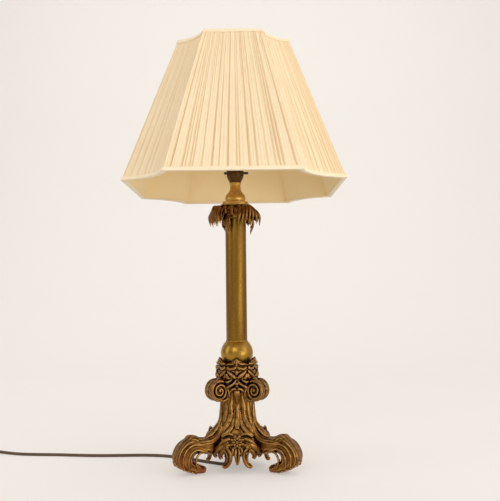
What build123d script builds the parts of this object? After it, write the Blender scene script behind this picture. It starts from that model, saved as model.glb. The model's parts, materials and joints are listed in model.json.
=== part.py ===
from build123d import *
import os
from math import asin, ceil, cos, pi, radians, sin, sqrt, tan

# A column table lamp: three scrolled feet, a hollow waisted pedestal with corner volutes, a leaf
# crown, a ball, a plain tube, a drooping leaf capital, a bayonet lampholder and a pleated shade.
# Millimetres, +Z up, the lamp's axis on Z, the floor at z = 0. Azimuth -90 faces the viewer.

# ---- driving dimensions ------------------------------------------------------------------
# clearances
fit_gap = 0.3
slide_gap = 0.05

# tie rod that clamps the stack
rod_radius = 5.0
rod_bore = 3.6
rod_below_web = 39.0
rod_above_neck = 8.4
washer_radius = 12.0
washer_thickness = 1.6
nut_radius = 9.0
nut_height = 6.0

# pedestal: (height above the rim, half width)
pedestal_rim = 38.0
pedestal_sections = [(0.0, 47.0), (32.0, 45.5), (43.0, 39.7), (55.0, 33.6), (71.0, 32.8),
                     (105.0, 33.6), (130.5, 35.0)]
pedestal_wall = 3.5
pedestal_web = 5.0
pedestal_corner_share = 0.55
lug_inner = 38.0
lug_reach = 53.0
lug_width = 28.0
lug_height = 26.0
volute_pad_inner = 30.0
volute_pad_width = 16.0
volute_pad_height = 28.0
volute_pad_below_top = 6.0
volute_pad_reach = 38.0
apron_pad_width = 40.0
apron_pad_height = 30.0
apron_pad_reach = 49.0

# feet: (out from the lug, height) on the outline and on the spine that it narrows towards
foot_top = [
    ((0.0, 64.5), (0.0, 45.0)),
    ((17.0, 62.5), (17.0, 50.0)),
    ((32.0, 62.0), (31.0, 51.0)),
    ((36.0, 65.5), (35.0, 52.0)),
    ((48.5, 67.0), (47.0, 52.0)),
    ((61.0, 60.5), (56.0, 48.0)),
    ((73.0, 48.0), (62.0, 42.0)),
    ((79.5, 33.5), (65.0, 34.0)),
    ((77.0, 21.0), (62.0, 26.0)),
    ((65.0, 10.0), (55.0, 20.0)),
    ((49.0, 3.0), (46.0, 12.0)),
    ((38.0, 0.0), (38.0, 9.0)),
]
foot_toe = [
    ((21.0, 0.0), (23.0, 7.0)),
    ((15.0, 6.0), (20.0, 8.0)),
    ((18.5, 14.0), (23.0, 9.0)),
    ((30.0, 16.0), (32.0, 11.0)),
    ((39.0, 19.5), (41.0, 14.0)),
    ((43.0, 25.0), (52.0, 20.0)),
    ((41.0, 32.0), (48.0, 45.0)),
    ((32.0, 35.5), (32.0, 48.0)),
    ((18.5, 35.0), (18.0, 47.0)),
    ((7.0, 29.0), (7.0, 45.0)),
    ((0.0, 26.0), (0.0, 43.0)),
]
foot_core_width = 22.0
foot_width = 38.0
foot_side_narrowing = 0.3
foot_screw_radius = 2.5
foot_screw_above_rim = 12.0
foot_screw_grip = 12.0
foot_screw_head_radius = 5.0
foot_screw_head_height = 2.5

# volutes on the pedestal's corners: (out from the pad, height above its foot)
volute_radius = 20.5
volute_out = 5.0
volute_rise = 10.5
volute_neck = [(0.0, 28.0), (6.0, 33.5), (16.0, 16.0), (6.0, -2.0), (0.0, -7.0)]
volute_web_width = 22.0
volute_rim_width = 30.0
volute_rim_inner = 14.0
volute_knob_radius = 4.8
volute_screw_radius = 2.0
volute_screw_rise = 14.0
volute_screw_grip = 8.0
volute_screw_head_radius = 3.6
volute_screw_head_height = 2.0

# aprons and rosettes: (across, height) of the plate, which a leaf hangs from
apron_thickness = 6.0
apron_plate = [(-26.0, 42.0), (-22.0, 62.0), (-12.0, 68.0), (12.0, 68.0), (22.0, 62.0),
               (26.0, 42.0), (9.0, 34.0), (0.0, 14.0), (-9.0, 34.0)]
scroll_inner = 11.0
scroll_outer = 28.0
scroll_low = 5.0
scroll_high = 46.0
scroll_width = 7.0
rosette_height = 58.0
rosette_petals = 8
rosette_ring = 8.0
petal_radius = 4.6
petal_depth = 4.0
petal_taper = 20.0
bead_radius = 4.6
bead_depth = 6.0

# base plate
plate_thickness = 3.0
plate_half = 44.0
plate_screw_ring = 42.0
plate_screw_radius = 2.0
plate_screw_depth = 6.0

# crown: heights above the pedestal, and each leaf's (across, height)
crown_radius = 37.4
crown_block_height = 15.0
crown_leaf = [(-19.0, 11.0), (-19.0, 21.5), (-9.5, 27.5), (0.0, 38.5), (9.5, 27.5),
              (19.0, 21.5), (19.0, 11.0)]
crown_leaf_thickness = 4.0
ball_seat_height = 18.0
ball_seat_margin = 6.0
ball_radius = 31.0
ball_centre_rise = 28.4
ball_top_rise = 22.6

# column
tube_radius = 20.2
tube_wall = 1.5
tube_length = 254.5
foot_ring_height = 2.5
spigot_length = 6.0

# capital: each leaf's profile as (out from the collar, height)
collar_height = 20.0
collar_radius = 25.0
collar_bevel = 2.0
frond_azimuths = {"left": 200.0, "right": 320.0, "rear": 80.0}
frond_profile = [(0.0, 10.0), (0.0, 16.0), (7.0, 21.0), (16.0, 20.0), (22.0, 13.0), (24.4, 0.0),
                 (24.4, -17.0), (21.4, -17.0), (21.2, 0.0), (19.0, 11.0), (14.0, 16.0),
                 (8.0, 16.0), (4.0, 10.0)]
frond_width = 36.0
frond_notches = 4
notch_width = 3.5
notch_depth = 9.0
notch_start = 10.0
leaf_azimuths = (260.0, 20.0, 140.0)
leaf_profile = [(0.0, 2.0), (0.0, 10.0), (7.0, 8.0), (11.0, -2.0), (10.0, -16.0), (3.0, -33.0),
                (6.0, -16.0), (6.5, -3.0)]
leaf_width = 15.0

# gallery, bell and neck: (radius, height above the step)
capital_ring_height = 4.7
flange_height = 3.3
flange_radius = 30.0
flange_bevel = 1.0
step_radius = 25.6
step_height = 5.0
bell_profile = [(20.0, 0.0), (19.5, 5.0), (18.6, 13.0), (16.9, 22.0), (13.0, 26.0), (10.2, 28.0)]
neck_radius = 9.8
neck_waist = 9.1
neck_height = 10.6

# lampholder
holder_neck_radius = 11.7
holder_neck_height = 2.4
holder_cone_rise = 14.4
holder_radius = 16.8
holder_wall = 2.0
holder_height = 26.4
bar_rise = 18.8
bar_radius = 2.45
bar_left = -21.8
bar_right = 25.5
insulator_height = 9.7
barrel_radius = 12.6
barrel_bore = 11.3
barrel_height = 30.0
barrel_flange = 1.5
plunger_offset = 4.6
plunger_head_radius = 2.3
plunger_tip_radius = 1.6
plunger_head_height = 3.0
plunger_tip_height = 3.6
plunger_floor = 1.2
spring_length = 5.5
contact_gap = 0.2
pin_radius = 1.0
pin_rise = 6.5
pin_reach = 13.5
pin_travel = 2.5
slot_width = 2.5
slot_offset = 5.5

# bulb
bulb_cap_radius = 11.0
bulb_cap_wall = 0.6
bulb_cap_floor = 2.0
bulb_cap_height = 23.2
bulb_neck_radius = 10.2
bulb_neck_depth = 10.0
bulb_radius = 30.0
bulb_widest_rise = 57.0
bulb_wall = 1.0
stem_height = 42.0
stem_radius = 2.5
stem_foot = 2.0

# shade carrier and its clamp ring
carrier_plate = 1.5
carrier_radius = 19.0
carrier_rise = 173.7
carrier_ring_radius = 40.0
carrier_bend = 12.0
clamp_ring_radius = 17.0
clamp_ring_height = 3.0
knurls = 24
knurl_radius = 0.6
wire_radius = 1.5
arm_radius = 1.4
weld_radius = 1.7

# shade
shade_above_carrier = 65.8
shade_height = 280.4
shade_low_half = 203.0
shade_low_flat = 118.0
shade_high_half = 106.5
shade_high_flat = 53.75
scoop_share = 0.72
trim_height = 7.0
trim_thickness = 1.2
pleat_depth = 1.0
cover_thickness = 0.8
pleats_per_flat = 20
pleats_per_scoop = 12
lining_thickness = 0.8
duplex_inner = 36.0
duplex_outer = 46.0
duplex_thickness = 2.0

# mains lead
cord_radius = 3.0
bush_place = (-22.0, 3.0)
bush_length = 17.0
bush_head_radius = 8.0
bush_collar_radius = 6.5
bush_tip_radius = 4.2
flex_upper_bend = 92.0
flex_lower_bend = 60.0
flex_above_rod = 2.0
# the lead's route from the bush to the coil, chosen by hand along the floor
cord_route = [
    (-22.0, 3.0, 18.0),
    (-22.0, 3.0, 9.5),
    (-27.0, 6.0, 3.1),
    (-43.0, 16.5, 3.1),
    (-70.0, 34.0, 3.1),
    (-103.0, 57.0, 3.1),
    (-136.0, 76.0, 3.1),
    (-166.0, 86.0, 3.1),
    (-204.0, 90.0, 3.1),
    (-244.0, 89.0, 3.1),
    (-284.0, 89.5, 3.1),
    (-326.0, 94.0, 3.1),
    (-369.0, 101.5, 3.1),
    (-411.0, 105.0, 3.1),
    (-455.0, 111.0, 3.1),
    (-494.0, 128.0, 3.1),
    (-523.0, 141.0, 4.2),
    (-554.0, 141.0, 4.2),
]
coil_outer = 43.5
coil_pitch = 7.0
coil_layer_step = 6.7
coil_climb_room = 1.0
layer_half_turns = 6
coil_half_turns = 12
tail_length = 48.0
tie_width = 8.0
tie_thickness = 0.8
tie_play = 0.8
plug_size = 48.0
plug_height = 21.0
plug_corner = 9.0
plug_bevel = 2.0
plug_pin_pitch = 22.2
plug_pin_inset = 13.0
live_pin = (4.0, 6.3, 17.7)
earth_pin = (8.0, 4.0, 22.7)

# ---- values worked out from them ---------------------------------------------------------
corner_azimuths = {"right": -30.0, "rear": 90.0, "left": 210.0}
face_azimuths = {"front": -90.0, "rear_right": 30.0, "rear_left": 150.0}
half_corner = radians(30)

rod_hole = rod_radius + fit_gap
rod_thread = rod_radius + slide_gap
plate_low = pedestal_rim - plate_thickness
lug_middle = pedestal_rim + lug_height / 2
pedestal_high = pedestal_rim + pedestal_sections[-1][0]
web_low = pedestal_high - pedestal_web
rod_low = web_low - rod_below_web
volute_pad_low = pedestal_high - volute_pad_below_top - volute_pad_height
foot_screw_height = pedestal_rim + foot_screw_above_rim
volute_screw_height = volute_pad_low + volute_screw_rise

ball_flat = pedestal_high + ball_seat_height
ball_centre = ball_flat + ball_centre_rise
foot_ring_low = ball_centre + ball_top_rise
ball_low_radius = sqrt(ball_radius**2 - ball_centre_rise**2)
ball_high_radius = sqrt(ball_radius**2 - ball_top_rise**2)
tube_low = foot_ring_low + foot_ring_height
tube_high = tube_low + tube_length
tube_inner = tube_radius - tube_wall
tube_sleeve = tube_radius + slide_gap
spigot_radius = tube_inner - slide_gap
collar_low = tube_high - collar_height
leaf_seat = collar_radius + fit_gap / 2
flange_low = tube_high + capital_ring_height
flange_high = flange_low + flange_height
step_high = flange_high + step_height
bell_high = step_high + bell_profile[-1][1]
neck_high = bell_high + neck_height
rod_high = neck_high + rod_above_neck

holder_cone_high = neck_high + holder_cone_rise
holder_high = neck_high + holder_height
bar_height = neck_high + bar_rise
insulator_low = bar_height + bar_radius + fit_gap + slide_gap
insulator_high = insulator_low + insulator_height
barrel_high = holder_high + barrel_height
spring_low = insulator_low + plunger_floor
plunger_low = spring_low + spring_length
plunger_shoulder = plunger_low + plunger_head_height
plunger_high = plunger_shoulder + plunger_tip_height
bulb_cap_low = plunger_high + contact_gap
bulb_cap_high = bulb_cap_low + bulb_cap_height
pin_height = bulb_cap_low + pin_rise
bulb_widest = bulb_cap_high + bulb_widest_rise
stem_low = bulb_cap_high - bulb_neck_depth

carrier_low = holder_high + barrel_flange
carrier_top = carrier_low + carrier_rise
clamp_ring_low = carrier_low + carrier_plate + slide_gap
shade_high = carrier_top + shade_above_carrier
shade_low = shade_high - shade_height
duplex_low = carrier_top + wire_radius + fit_gap
wall_slope = (shade_low_half - shade_high_half) / shade_height
level_wire = wire_radius * sqrt(1 + wall_slope**2)
cover_inset = trim_thickness + fit_gap
cover_inner = cover_inset + pleat_depth + cover_thickness
wire_inset = cover_inner + fit_gap + level_wire
lining_inset = wire_inset + level_wire + fit_gap
lining_inner = lining_inset + lining_thickness
trim_inner = lining_inner + fit_gap
cloth_low = shade_low + trim_thickness + slide_gap
cloth_high = shade_high - trim_thickness - slide_gap
ring_low = cloth_low + 2 * wire_radius
ring_high = cloth_high - 2 * wire_radius

bush_low = plate_low - bush_length
coil_start = cord_route[-1]
coil_centre_x = coil_start[0] - 2 * cord_radius
coil_centre_y = coil_start[1] - coil_outer
plug_entry = coil_centre_x - tail_length - slide_gap

os.makedirs("parts", exist_ok=True)


def save(name, piece):
    """Labels a finished piece and writes its file."""
    piece.part.label = name
    export_step(piece.part, f"parts/{name}.step")


def radial_plane(azimuth):
    """The upright plane through the axis: local x runs outwards, local y runs up."""
    a = radians(azimuth)
    return Plane(origin=(0, 0, 0), x_dir=(cos(a), sin(a), 0), z_dir=(sin(a), -cos(a), 0))


def facing_plane(azimuth, distance, height=0.0):
    """An upright plane that faces outwards at a distance from the axis."""
    a = radians(azimuth)
    start = (distance * cos(a), distance * sin(a), height)
    return Plane(origin=start, x_dir=(-sin(a), cos(a), 0), z_dir=(cos(a), sin(a), 0))


def turned(profile):
    """A solid of revolution about the lamp's axis, from (radius, height) corners."""
    with BuildPart() as piece:
        with BuildSketch(Plane.XZ):
            with BuildLine():
                Polyline(*profile, close=True)
            make_face()
        revolve(axis=Axis.Z)
    return piece


# ---- pedestal ----------------------------------------------------------------------------
def rounded_triangle(height, half):
    """A three-sided section with rounded corners, twice its half width across, a side in front."""
    corner = pedestal_corner_share * half
    reach = (half - corner) / cos(half_corner) + 2 * corner
    turns = [radians(azimuth) for azimuth in corner_azimuths.values()]
    with BuildSketch(Plane.XY.offset(height)) as section:
        with BuildLine():
            Polyline(*[(reach * cos(a), reach * sin(a)) for a in turns], close=True)
        make_face()
        fillet(section.vertices(), corner)
    return section.sketch


def pedestal_hollow():
    """The pedestal's inside, open at the rim and closed by the web at the top."""
    with BuildPart() as hollow:
        for rise, half in pedestal_sections[:-1]:
            add(rounded_triangle(pedestal_rim + rise, half - pedestal_wall))
        add(rounded_triangle(web_low, pedestal_sections[-1][1] - pedestal_wall))
        loft(ruled=True)
    return hollow


def corner_holes(azimuth):
    """The planes, radii and depths of one corner's three screw holes."""
    return (
        (facing_plane(azimuth, 0, foot_screw_height), foot_screw_radius, lug_reach),
        (facing_plane(azimuth, 0, volute_screw_height), volute_screw_radius, volute_pad_reach),
        (plate_screw_plane(azimuth, pedestal_rim), plate_screw_radius, plate_screw_depth),
    )


def pedestal_casting():
    """The hollow waisted casting with its lugs, its volute pads and its apron pads."""
    hollow = pedestal_hollow()
    pad_middle = volute_pad_low + volute_pad_height / 2
    apron_middle = pedestal_rim + apron_pad_height / 2
    with BuildPart() as casting:
        for rise, half in pedestal_sections:
            add(rounded_triangle(pedestal_rim + rise, half))
        loft(ruled=True)
        for azimuth in face_azimuths.values():
            with BuildSketch(facing_plane(azimuth, pedestal_wall, apron_middle)):
                Rectangle(apron_pad_width, apron_pad_height)
            extrude(amount=apron_pad_reach - pedestal_wall)
        add(hollow.part, mode=Mode.SUBTRACT)
        for azimuth in corner_azimuths.values():
            with BuildSketch(facing_plane(azimuth, lug_inner, lug_middle)):
                Rectangle(lug_width, lug_height)
            extrude(amount=lug_reach - lug_inner)
            with BuildSketch(facing_plane(azimuth, volute_pad_inner, pad_middle)):
                Rectangle(volute_pad_width, volute_pad_height)
            extrude(amount=volute_pad_reach - volute_pad_inner)
        with Locations((0, 0, web_low)):
            Cylinder(rod_hole, 3 * pedestal_web, mode=Mode.SUBTRACT)
        for azimuth in corner_azimuths.values():
            for plane, radius, depth in corner_holes(azimuth):
                with BuildSketch(plane):
                    Circle(radius + fit_gap)
                extrude(amount=depth, mode=Mode.SUBTRACT)
    return casting


def plate_screw_plane(azimuth, height):
    """A level plane centred on one of the base plate's screws."""
    a = radians(azimuth)
    return Plane(origin=(plate_screw_ring * cos(a), plate_screw_ring * sin(a), height))


# ---- feet --------------------------------------------------------------------------------
def narrowed(pairs, share):
    """Outline points drawn towards their spine points; those on the floor stay on it."""
    points = []
    for (out, height), (spine_out, spine_height) in pairs:
        level = height + (spine_height - height) * share if height > 0 else 0.0
        points.append((lug_reach + out + (spine_out - out) * share, level))
    return points


def foot_section(plane, share):
    """The foot's outline on a plane: its top and front, its flat sole, its toe and its arch."""
    top, toe = narrowed(foot_top, share), narrowed(foot_toe, share)
    with BuildSketch(plane) as section:
        with BuildLine():
            Spline(*top)
            Line(top[-1], toe[0])
            Spline(*toe)
            Line(toe[-1], top[0])
        make_face()
    return section.sketch


def foot(azimuth):
    """One scrolled foot: a full core, sides that narrow outwards, and a boss on the lug."""
    plane = radial_plane(azimuth)
    side = (foot_width - foot_core_width) / 2
    with BuildPart() as piece:
        extrude(foot_section(plane, 0.0), amount=foot_core_width / 2, both=True)
        for step in (1, 2):
            section = foot_section(plane, foot_side_narrowing * step / 2)
            extrude(section, amount=foot_core_width / 2 + side * step / 2, both=True)
        with BuildSketch(facing_plane(azimuth, lug_reach, foot_screw_height)):
            Circle(foot_screw_radius + fit_gap)
        extrude(amount=foot_screw_grip + fit_gap, mode=Mode.SUBTRACT)
    return piece


def screws(start, height, radius, length, head_radius, head_height):
    """Three screws that point outwards at the corners, each with a head at its inner end."""
    with BuildPart() as group:
        for azimuth in corner_azimuths.values():
            with BuildSketch(facing_plane(azimuth, start, height)):
                Circle(radius)
            extrude(amount=length)
            with BuildSketch(facing_plane(azimuth, start, height)):
                Circle(head_radius)
            extrude(amount=-head_height)
    return group


# ---- volutes -----------------------------------------------------------------------------
def volute_disc(plane, inner):
    """The scroll's round face beyond the pedestal's pad, with an optional hollow."""
    centre = (volute_pad_reach + volute_out, volute_pad_low + volute_rise)
    with BuildSketch(plane) as section:
        with Locations(centre):
            Circle(volute_radius)
            if inner:
                Circle(inner, mode=Mode.SUBTRACT)
        with Locations((volute_pad_reach - volute_radius, centre[1])):
            Rectangle(2 * volute_radius, 4 * volute_radius, mode=Mode.SUBTRACT)
    return section.sketch


def volute(azimuth):
    """A scrolled bracket: a web with a tail, a raised rim and a knob on each side."""
    plane = radial_plane(azimuth)
    with BuildPart() as piece:
        extrude(volute_disc(plane, 0), amount=volute_web_width / 2, both=True)
        with BuildSketch(plane):
            with BuildLine():
                Polyline(*[(volute_pad_reach + out, volute_pad_low + rise)
                           for out, rise in volute_neck], close=True)
            make_face()
        extrude(amount=volute_web_width / 2, both=True)
        extrude(volute_disc(plane, volute_rim_inner), amount=volute_rim_width / 2, both=True)
        with BuildSketch(plane):
            with Locations((volute_pad_reach + volute_out, volute_pad_low + volute_rise)):
                Circle(volute_knob_radius)
        extrude(amount=volute_rim_width / 2, both=True)
        with BuildSketch(facing_plane(azimuth, volute_pad_reach, volute_screw_height)):
            Circle(volute_screw_radius + fit_gap)
        extrude(amount=volute_screw_grip + fit_gap, mode=Mode.SUBTRACT)
    return piece


# ---- aprons and rosettes -----------------------------------------------------------------
def scroll_side(side):
    """One C-scroll of an apron, bulging towards the middle: side is -1 or 1."""
    middle = (scroll_low + scroll_high) / 2
    tip = scroll_width / 2
    outer = ThreePointArc((side * scroll_outer, scroll_high), (side * scroll_inner, middle),
                          (side * scroll_outer, scroll_low))
    inner = ThreePointArc((side * scroll_outer, scroll_low + tip),
                          (side * (scroll_inner + scroll_width), middle),
                          (side * scroll_outer, scroll_high - tip))
    Line(outer @ 1, inner @ 0)
    Line(inner @ 1, outer @ 0)


def apron(azimuth):
    """The shield below a rosette: a plate, a hanging leaf and a pair of C-scrolls."""
    with BuildPart() as piece:
        with BuildSketch(facing_plane(azimuth, apron_pad_reach)):
            with BuildLine():
                Polyline(*apron_plate, close=True)
            make_face()
            for side in (-1, 1):
                with BuildLine():
                    scroll_side(side)
                make_face()
        extrude(amount=apron_thickness)
    return piece


def rosettes():
    """The three identical flowers: rounded petals about a bead, seated on the aprons."""
    with BuildPart() as group:
        for azimuth in face_azimuths.values():
            plane = facing_plane(azimuth, apron_pad_reach + apron_thickness, rosette_height)
            with BuildSketch(plane):
                Circle(rosette_ring)
                with PolarLocations(rosette_ring, rosette_petals):
                    Circle(petal_radius)
            extrude(amount=petal_depth, taper=petal_taper)
            with BuildSketch(plane):
                Circle(bead_radius)
            extrude(amount=bead_depth, taper=petal_taper / 2)
    return group


# ---- crown and ball ----------------------------------------------------------------------
def crown():
    """The round collar with six pointed leaves, round the ball's foot."""
    with BuildPart() as piece:
        with BuildSketch(Plane.XY.offset(pedestal_high)):
            Circle(crown_radius)
        extrude(amount=crown_block_height)
        for azimuth in [*face_azimuths.values(), *corner_azimuths.values()]:
            with BuildSketch(facing_plane(azimuth, crown_radius - crown_leaf_thickness, pedestal_high)):
                with BuildLine():
                    Polyline(*crown_leaf, close=True)
                make_face()
            extrude(amount=crown_leaf_thickness)
        with BuildSketch(Plane.XY.offset(pedestal_high)):
            Circle(ball_low_radius + ball_seat_margin)
        extrude(amount=ball_seat_height)
        with Locations((0, 0, ball_centre)):
            Sphere(ball_radius + fit_gap, mode=Mode.SUBTRACT)
        with BuildSketch(Plane.XY.offset(pedestal_high)):
            Circle(ball_low_radius)
        extrude(amount=ball_seat_height)
        Cylinder(rod_hole, 4 * ball_flat, mode=Mode.SUBTRACT)
    return piece


def ball():
    """The ball, flat where it stands on the crown and where the column stands on it."""
    with BuildPart() as piece:
        with BuildSketch(Plane.XZ):
            with BuildLine():
                Line((rod_hole, ball_flat), (ball_low_radius, ball_flat))
                ThreePointArc((ball_low_radius, ball_flat), (ball_radius, ball_centre),
                              (ball_high_radius, foot_ring_low))
                Line((ball_high_radius, foot_ring_low), (rod_hole, foot_ring_low))
                Line((rod_hole, foot_ring_low), (rod_hole, ball_flat))
            make_face()
        revolve(axis=Axis.Z)
    return piece


# ---- capital -----------------------------------------------------------------------------
def leaf_body(azimuth, profile, width):
    """A leaf's profile, seated on the collar and drawn out to both sides."""
    with BuildSketch(radial_plane(azimuth)) as section:
        with BuildLine():
            Polyline(*[(leaf_seat + out, collar_low + rise) for out, rise in profile], close=True)
        make_face()
    extrude(section.sketch, amount=width / 2, both=True)


def frond(azimuth):
    """An upper frond: it leaves the collar, arches out and hangs with a notched fringe."""
    fringe = collar_low + min(rise for _, rise in frond_profile)
    step = frond_width / (frond_notches + 1)
    with BuildPart() as piece:
        leaf_body(azimuth, frond_profile, frond_width)
        for place in range(frond_notches):
            with BuildSketch(facing_plane(azimuth, collar_radius + notch_start, fringe)):
                with Locations((step * (place + 1) - frond_width / 2, 0)):
                    Rectangle(notch_width, 2 * notch_depth)
            extrude(amount=frond_width, mode=Mode.SUBTRACT)
    return piece


def lower_leaves():
    """The three identical lower leaves, which spring from the collar and curl down."""
    with BuildPart() as group:
        for azimuth in leaf_azimuths:
            leaf_body(azimuth, leaf_profile, leaf_width)
    return group


# ---- lampholder --------------------------------------------------------------------------
def tie_nut():
    """The hexagon nut under the pedestal's web."""
    with BuildPart() as piece:
        with BuildSketch(Plane.XY.offset(web_low - washer_thickness - nut_height)):
            RegularPolygon(nut_radius, 6)
            Circle(rod_thread, mode=Mode.SUBTRACT)
        extrude(amount=nut_height)
    return piece


def holder_body():
    """The lampholder's lower shell, with the push bar's hole through it."""
    cavity = holder_radius - holder_wall
    nut_top = rod_high + fit_gap
    with BuildPart() as piece:
        with BuildSketch(Plane.XZ):
            with BuildLine():
                Polyline((rod_thread, neck_high), (holder_neck_radius, neck_high),
                         (holder_neck_radius, neck_high + holder_neck_height),
                         (holder_radius, holder_cone_high), (holder_radius, holder_high),
                         (cavity, holder_high), (cavity, holder_cone_high),
                         (holder_neck_radius - holder_wall / 2, nut_top), (rod_thread, nut_top),
                         close=True)
            make_face()
        revolve(axis=Axis.Z)
        with BuildSketch(Plane.YZ.offset(-2 * holder_radius)):
            with Locations((0, bar_height)):
                Circle(bar_radius + slide_gap)
        extrude(amount=4 * holder_radius, mode=Mode.SUBTRACT)
    return piece


def insulator():
    """The insulating block that guides the two contact plungers."""
    with BuildPart() as piece:
        with BuildSketch(Plane.XY.offset(insulator_low)):
            Circle(holder_radius - holder_wall - slide_gap)
        extrude(amount=holder_high - insulator_low)
        with BuildSketch(Plane.XY.offset(holder_high)):
            Circle(barrel_bore - fit_gap)
        extrude(amount=insulator_high - holder_high)
        with BuildSketch(Plane.XY.offset(spring_low)):
            with Locations((0, plunger_offset), (0, -plunger_offset)):
                Circle(plunger_head_radius + slide_gap)
        extrude(amount=insulator_height, mode=Mode.SUBTRACT)
    return piece


def barrel():
    """The bayonet sleeve with its flange and two J-shaped slots."""
    slot_low = pin_height - pin_travel - pin_radius - fit_gap
    slot_high = pin_height + pin_radius + fit_gap
    depth = 4 * (barrel_radius - barrel_bore)
    with BuildPart() as piece:
        with BuildSketch(Plane.XY.offset(holder_high)):
            Circle(holder_radius)
            Circle(barrel_bore, mode=Mode.SUBTRACT)
        extrude(amount=barrel_flange)
        with BuildSketch(Plane.XY.offset(holder_high)):
            Circle(barrel_radius)
            Circle(barrel_bore, mode=Mode.SUBTRACT)
        extrude(amount=barrel_height)
        with PolarLocations(barrel_radius, 2):
            with Locations((0, 0, (slot_low + slot_high) / 2)):
                Box(depth, slot_width, slot_high - slot_low, mode=Mode.SUBTRACT)
            with Locations((0, slot_offset / 2, slot_low + slot_width / 2)):
                Box(depth, slot_offset + slot_width, slot_width, mode=Mode.SUBTRACT)
            with Locations((0, slot_offset, barrel_high)):
                Box(depth, slot_width, 2 * (barrel_high - slot_low), mode=Mode.SUBTRACT)
    return piece


def plunger(side):
    """A contact plunger: a head in the insulator and a tip towards the bulb."""
    with BuildPart() as piece:
        with BuildSketch(Plane.XY.offset(plunger_low)):
            with Locations((0, side * plunger_offset)):
                Circle(plunger_head_radius)
        extrude(amount=plunger_shoulder - plunger_low)
        with BuildSketch(Plane.XY.offset(plunger_shoulder)):
            with Locations((0, side * plunger_offset)):
                Circle(plunger_tip_radius)
        extrude(amount=plunger_high - plunger_shoulder)
    return piece


def plunger_spring(side):
    """The sleeve that a plunger's coil spring fills, hidden in the insulator."""
    with BuildPart() as piece:
        with BuildSketch(Plane.XY.offset(spring_low)):
            with Locations((0, side * plunger_offset)):
                Circle(plunger_head_radius)
                Circle(plunger_head_radius / 2, mode=Mode.SUBTRACT)
        extrude(amount=plunger_low - spring_low)
    return piece


def push_bar():
    """The push bar through the lampholder, pushed to the right at rest."""
    with BuildPart() as piece:
        with BuildSketch(Plane.YZ.offset(bar_left)):
            with Locations((0, bar_height)):
                Circle(bar_radius)
        extrude(amount=bar_right - bar_left)
        fillet(piece.edges().filter_by(GeomType.CIRCLE), bar_radius / 3)
    return piece


# ---- bulb --------------------------------------------------------------------------------
def bulb_cap():
    """The bayonet cap: a cup with two side pins."""
    inner = bulb_cap_radius - bulb_cap_wall
    with BuildPart() as piece:
        with BuildSketch(Plane.XY.offset(bulb_cap_low)):
            Circle(bulb_cap_radius)
        extrude(amount=bulb_cap_height)
        with BuildSketch(Plane.XY.offset(bulb_cap_low + bulb_cap_floor)):
            Circle(inner)
        extrude(amount=bulb_cap_high, mode=Mode.SUBTRACT)
        for direction in (0.0, 180.0):
            with BuildSketch(facing_plane(direction, inner, pin_height)):
                Circle(pin_radius)
            extrude(amount=pin_reach - inner)
    return piece


def bulb_outline(inset):
    """One wall of the glass, from the neck over the widest place to the top."""
    neck = bulb_neck_radius - inset
    wide = bulb_radius - inset
    shoulder = Spline((neck, bulb_cap_high), (neck + bulb_radius / 6, bulb_cap_high + bulb_radius / 2),
                      (wide - bulb_radius / 8, bulb_widest - bulb_radius * 2 / 3), (wide, bulb_widest),
                      tangents=((0, 1), (0, 1)))
    slope = sqrt(0.5) * wide
    return shoulder, ThreePointArc((wide, bulb_widest), (slope, bulb_widest + slope),
                                   (0, bulb_widest + wide))


def bulb_glass():
    """The thin glass of the bulb."""
    neck = bulb_neck_radius
    with BuildPart() as piece:
        with BuildSketch(Plane.XZ):
            with BuildLine():
                bulb_outline(0.0)
                bulb_outline(bulb_wall)
                Line((0, bulb_widest + bulb_radius), (0, bulb_widest + bulb_radius - bulb_wall))
                Polyline((neck, bulb_cap_high), (neck, stem_low), (neck - bulb_wall, stem_low),
                         (neck - bulb_wall, bulb_cap_high))
            make_face()
        revolve(axis=Axis.Z)
    return piece


# ---- shade carrier -----------------------------------------------------------------------
def shade_carrier():
    """The wire fork that stands on the lampholder and holds the shade's centre ring."""
    middle = carrier_low + carrier_plate / 2
    start = clamp_ring_radius + fit_gap
    with BuildPart() as piece:
        with BuildSketch(Plane.XY.offset(carrier_low)):
            Circle(carrier_radius)
            Circle(barrel_radius + fit_gap, mode=Mode.SUBTRACT)
        extrude(amount=carrier_plate)
        for side in (-1, 1):
            with BuildLine() as path:
                FilletPolyline((0, side * start, middle), (0, side * carrier_ring_radius, middle),
                               (0, side * carrier_ring_radius, carrier_top), radius=carrier_bend)
            with BuildSketch(Plane(origin=path.line @ 0, z_dir=path.line % 0)):
                Circle(wire_radius)
            sweep(path=path.line)
        with Locations((0, 0, carrier_top)):
            Torus(carrier_ring_radius, wire_radius)
    return piece


def clamp_ring():
    """The knurled ring that clamps the carrier to the lampholder."""
    with BuildPart() as piece:
        with BuildSketch(Plane.XY.offset(clamp_ring_low)):
            Circle(clamp_ring_radius)
            Circle(barrel_radius + slide_gap, mode=Mode.SUBTRACT)
            with PolarLocations(clamp_ring_radius, knurls):
                Circle(knurl_radius, mode=Mode.SUBTRACT)
        extrude(amount=clamp_ring_height)
    return piece


# ---- shade -------------------------------------------------------------------------------
def shade_plan(height, inset):
    """Half width, half flat, scoop centre and scoop radius of the shade at a height."""
    t = (height - shade_low) / (shade_high - shade_low)
    half = shade_low_half + (shade_high_half - shade_low_half) * t
    flat = shade_low_flat + (shade_high_flat - shade_low_flat) * t
    rise = scoop_share * (half - flat) * (1 - sqrt(0.5))
    chord = sqrt(2) * (half - flat)
    radius = (chord**2 / 4 + rise**2) / (2 * rise)
    centre = (half + flat) / 2 + (radius - rise) * sqrt(0.5)
    radius += inset
    half -= inset
    return half, centre - sqrt(radius**2 - (centre - half) ** 2), centre, radius


def quarter_turned(x, y, quarter):
    """A plan point turned by quarter turns about the axis."""
    for _ in range(quarter):
        x, y = -y, x
    return x, y


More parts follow.
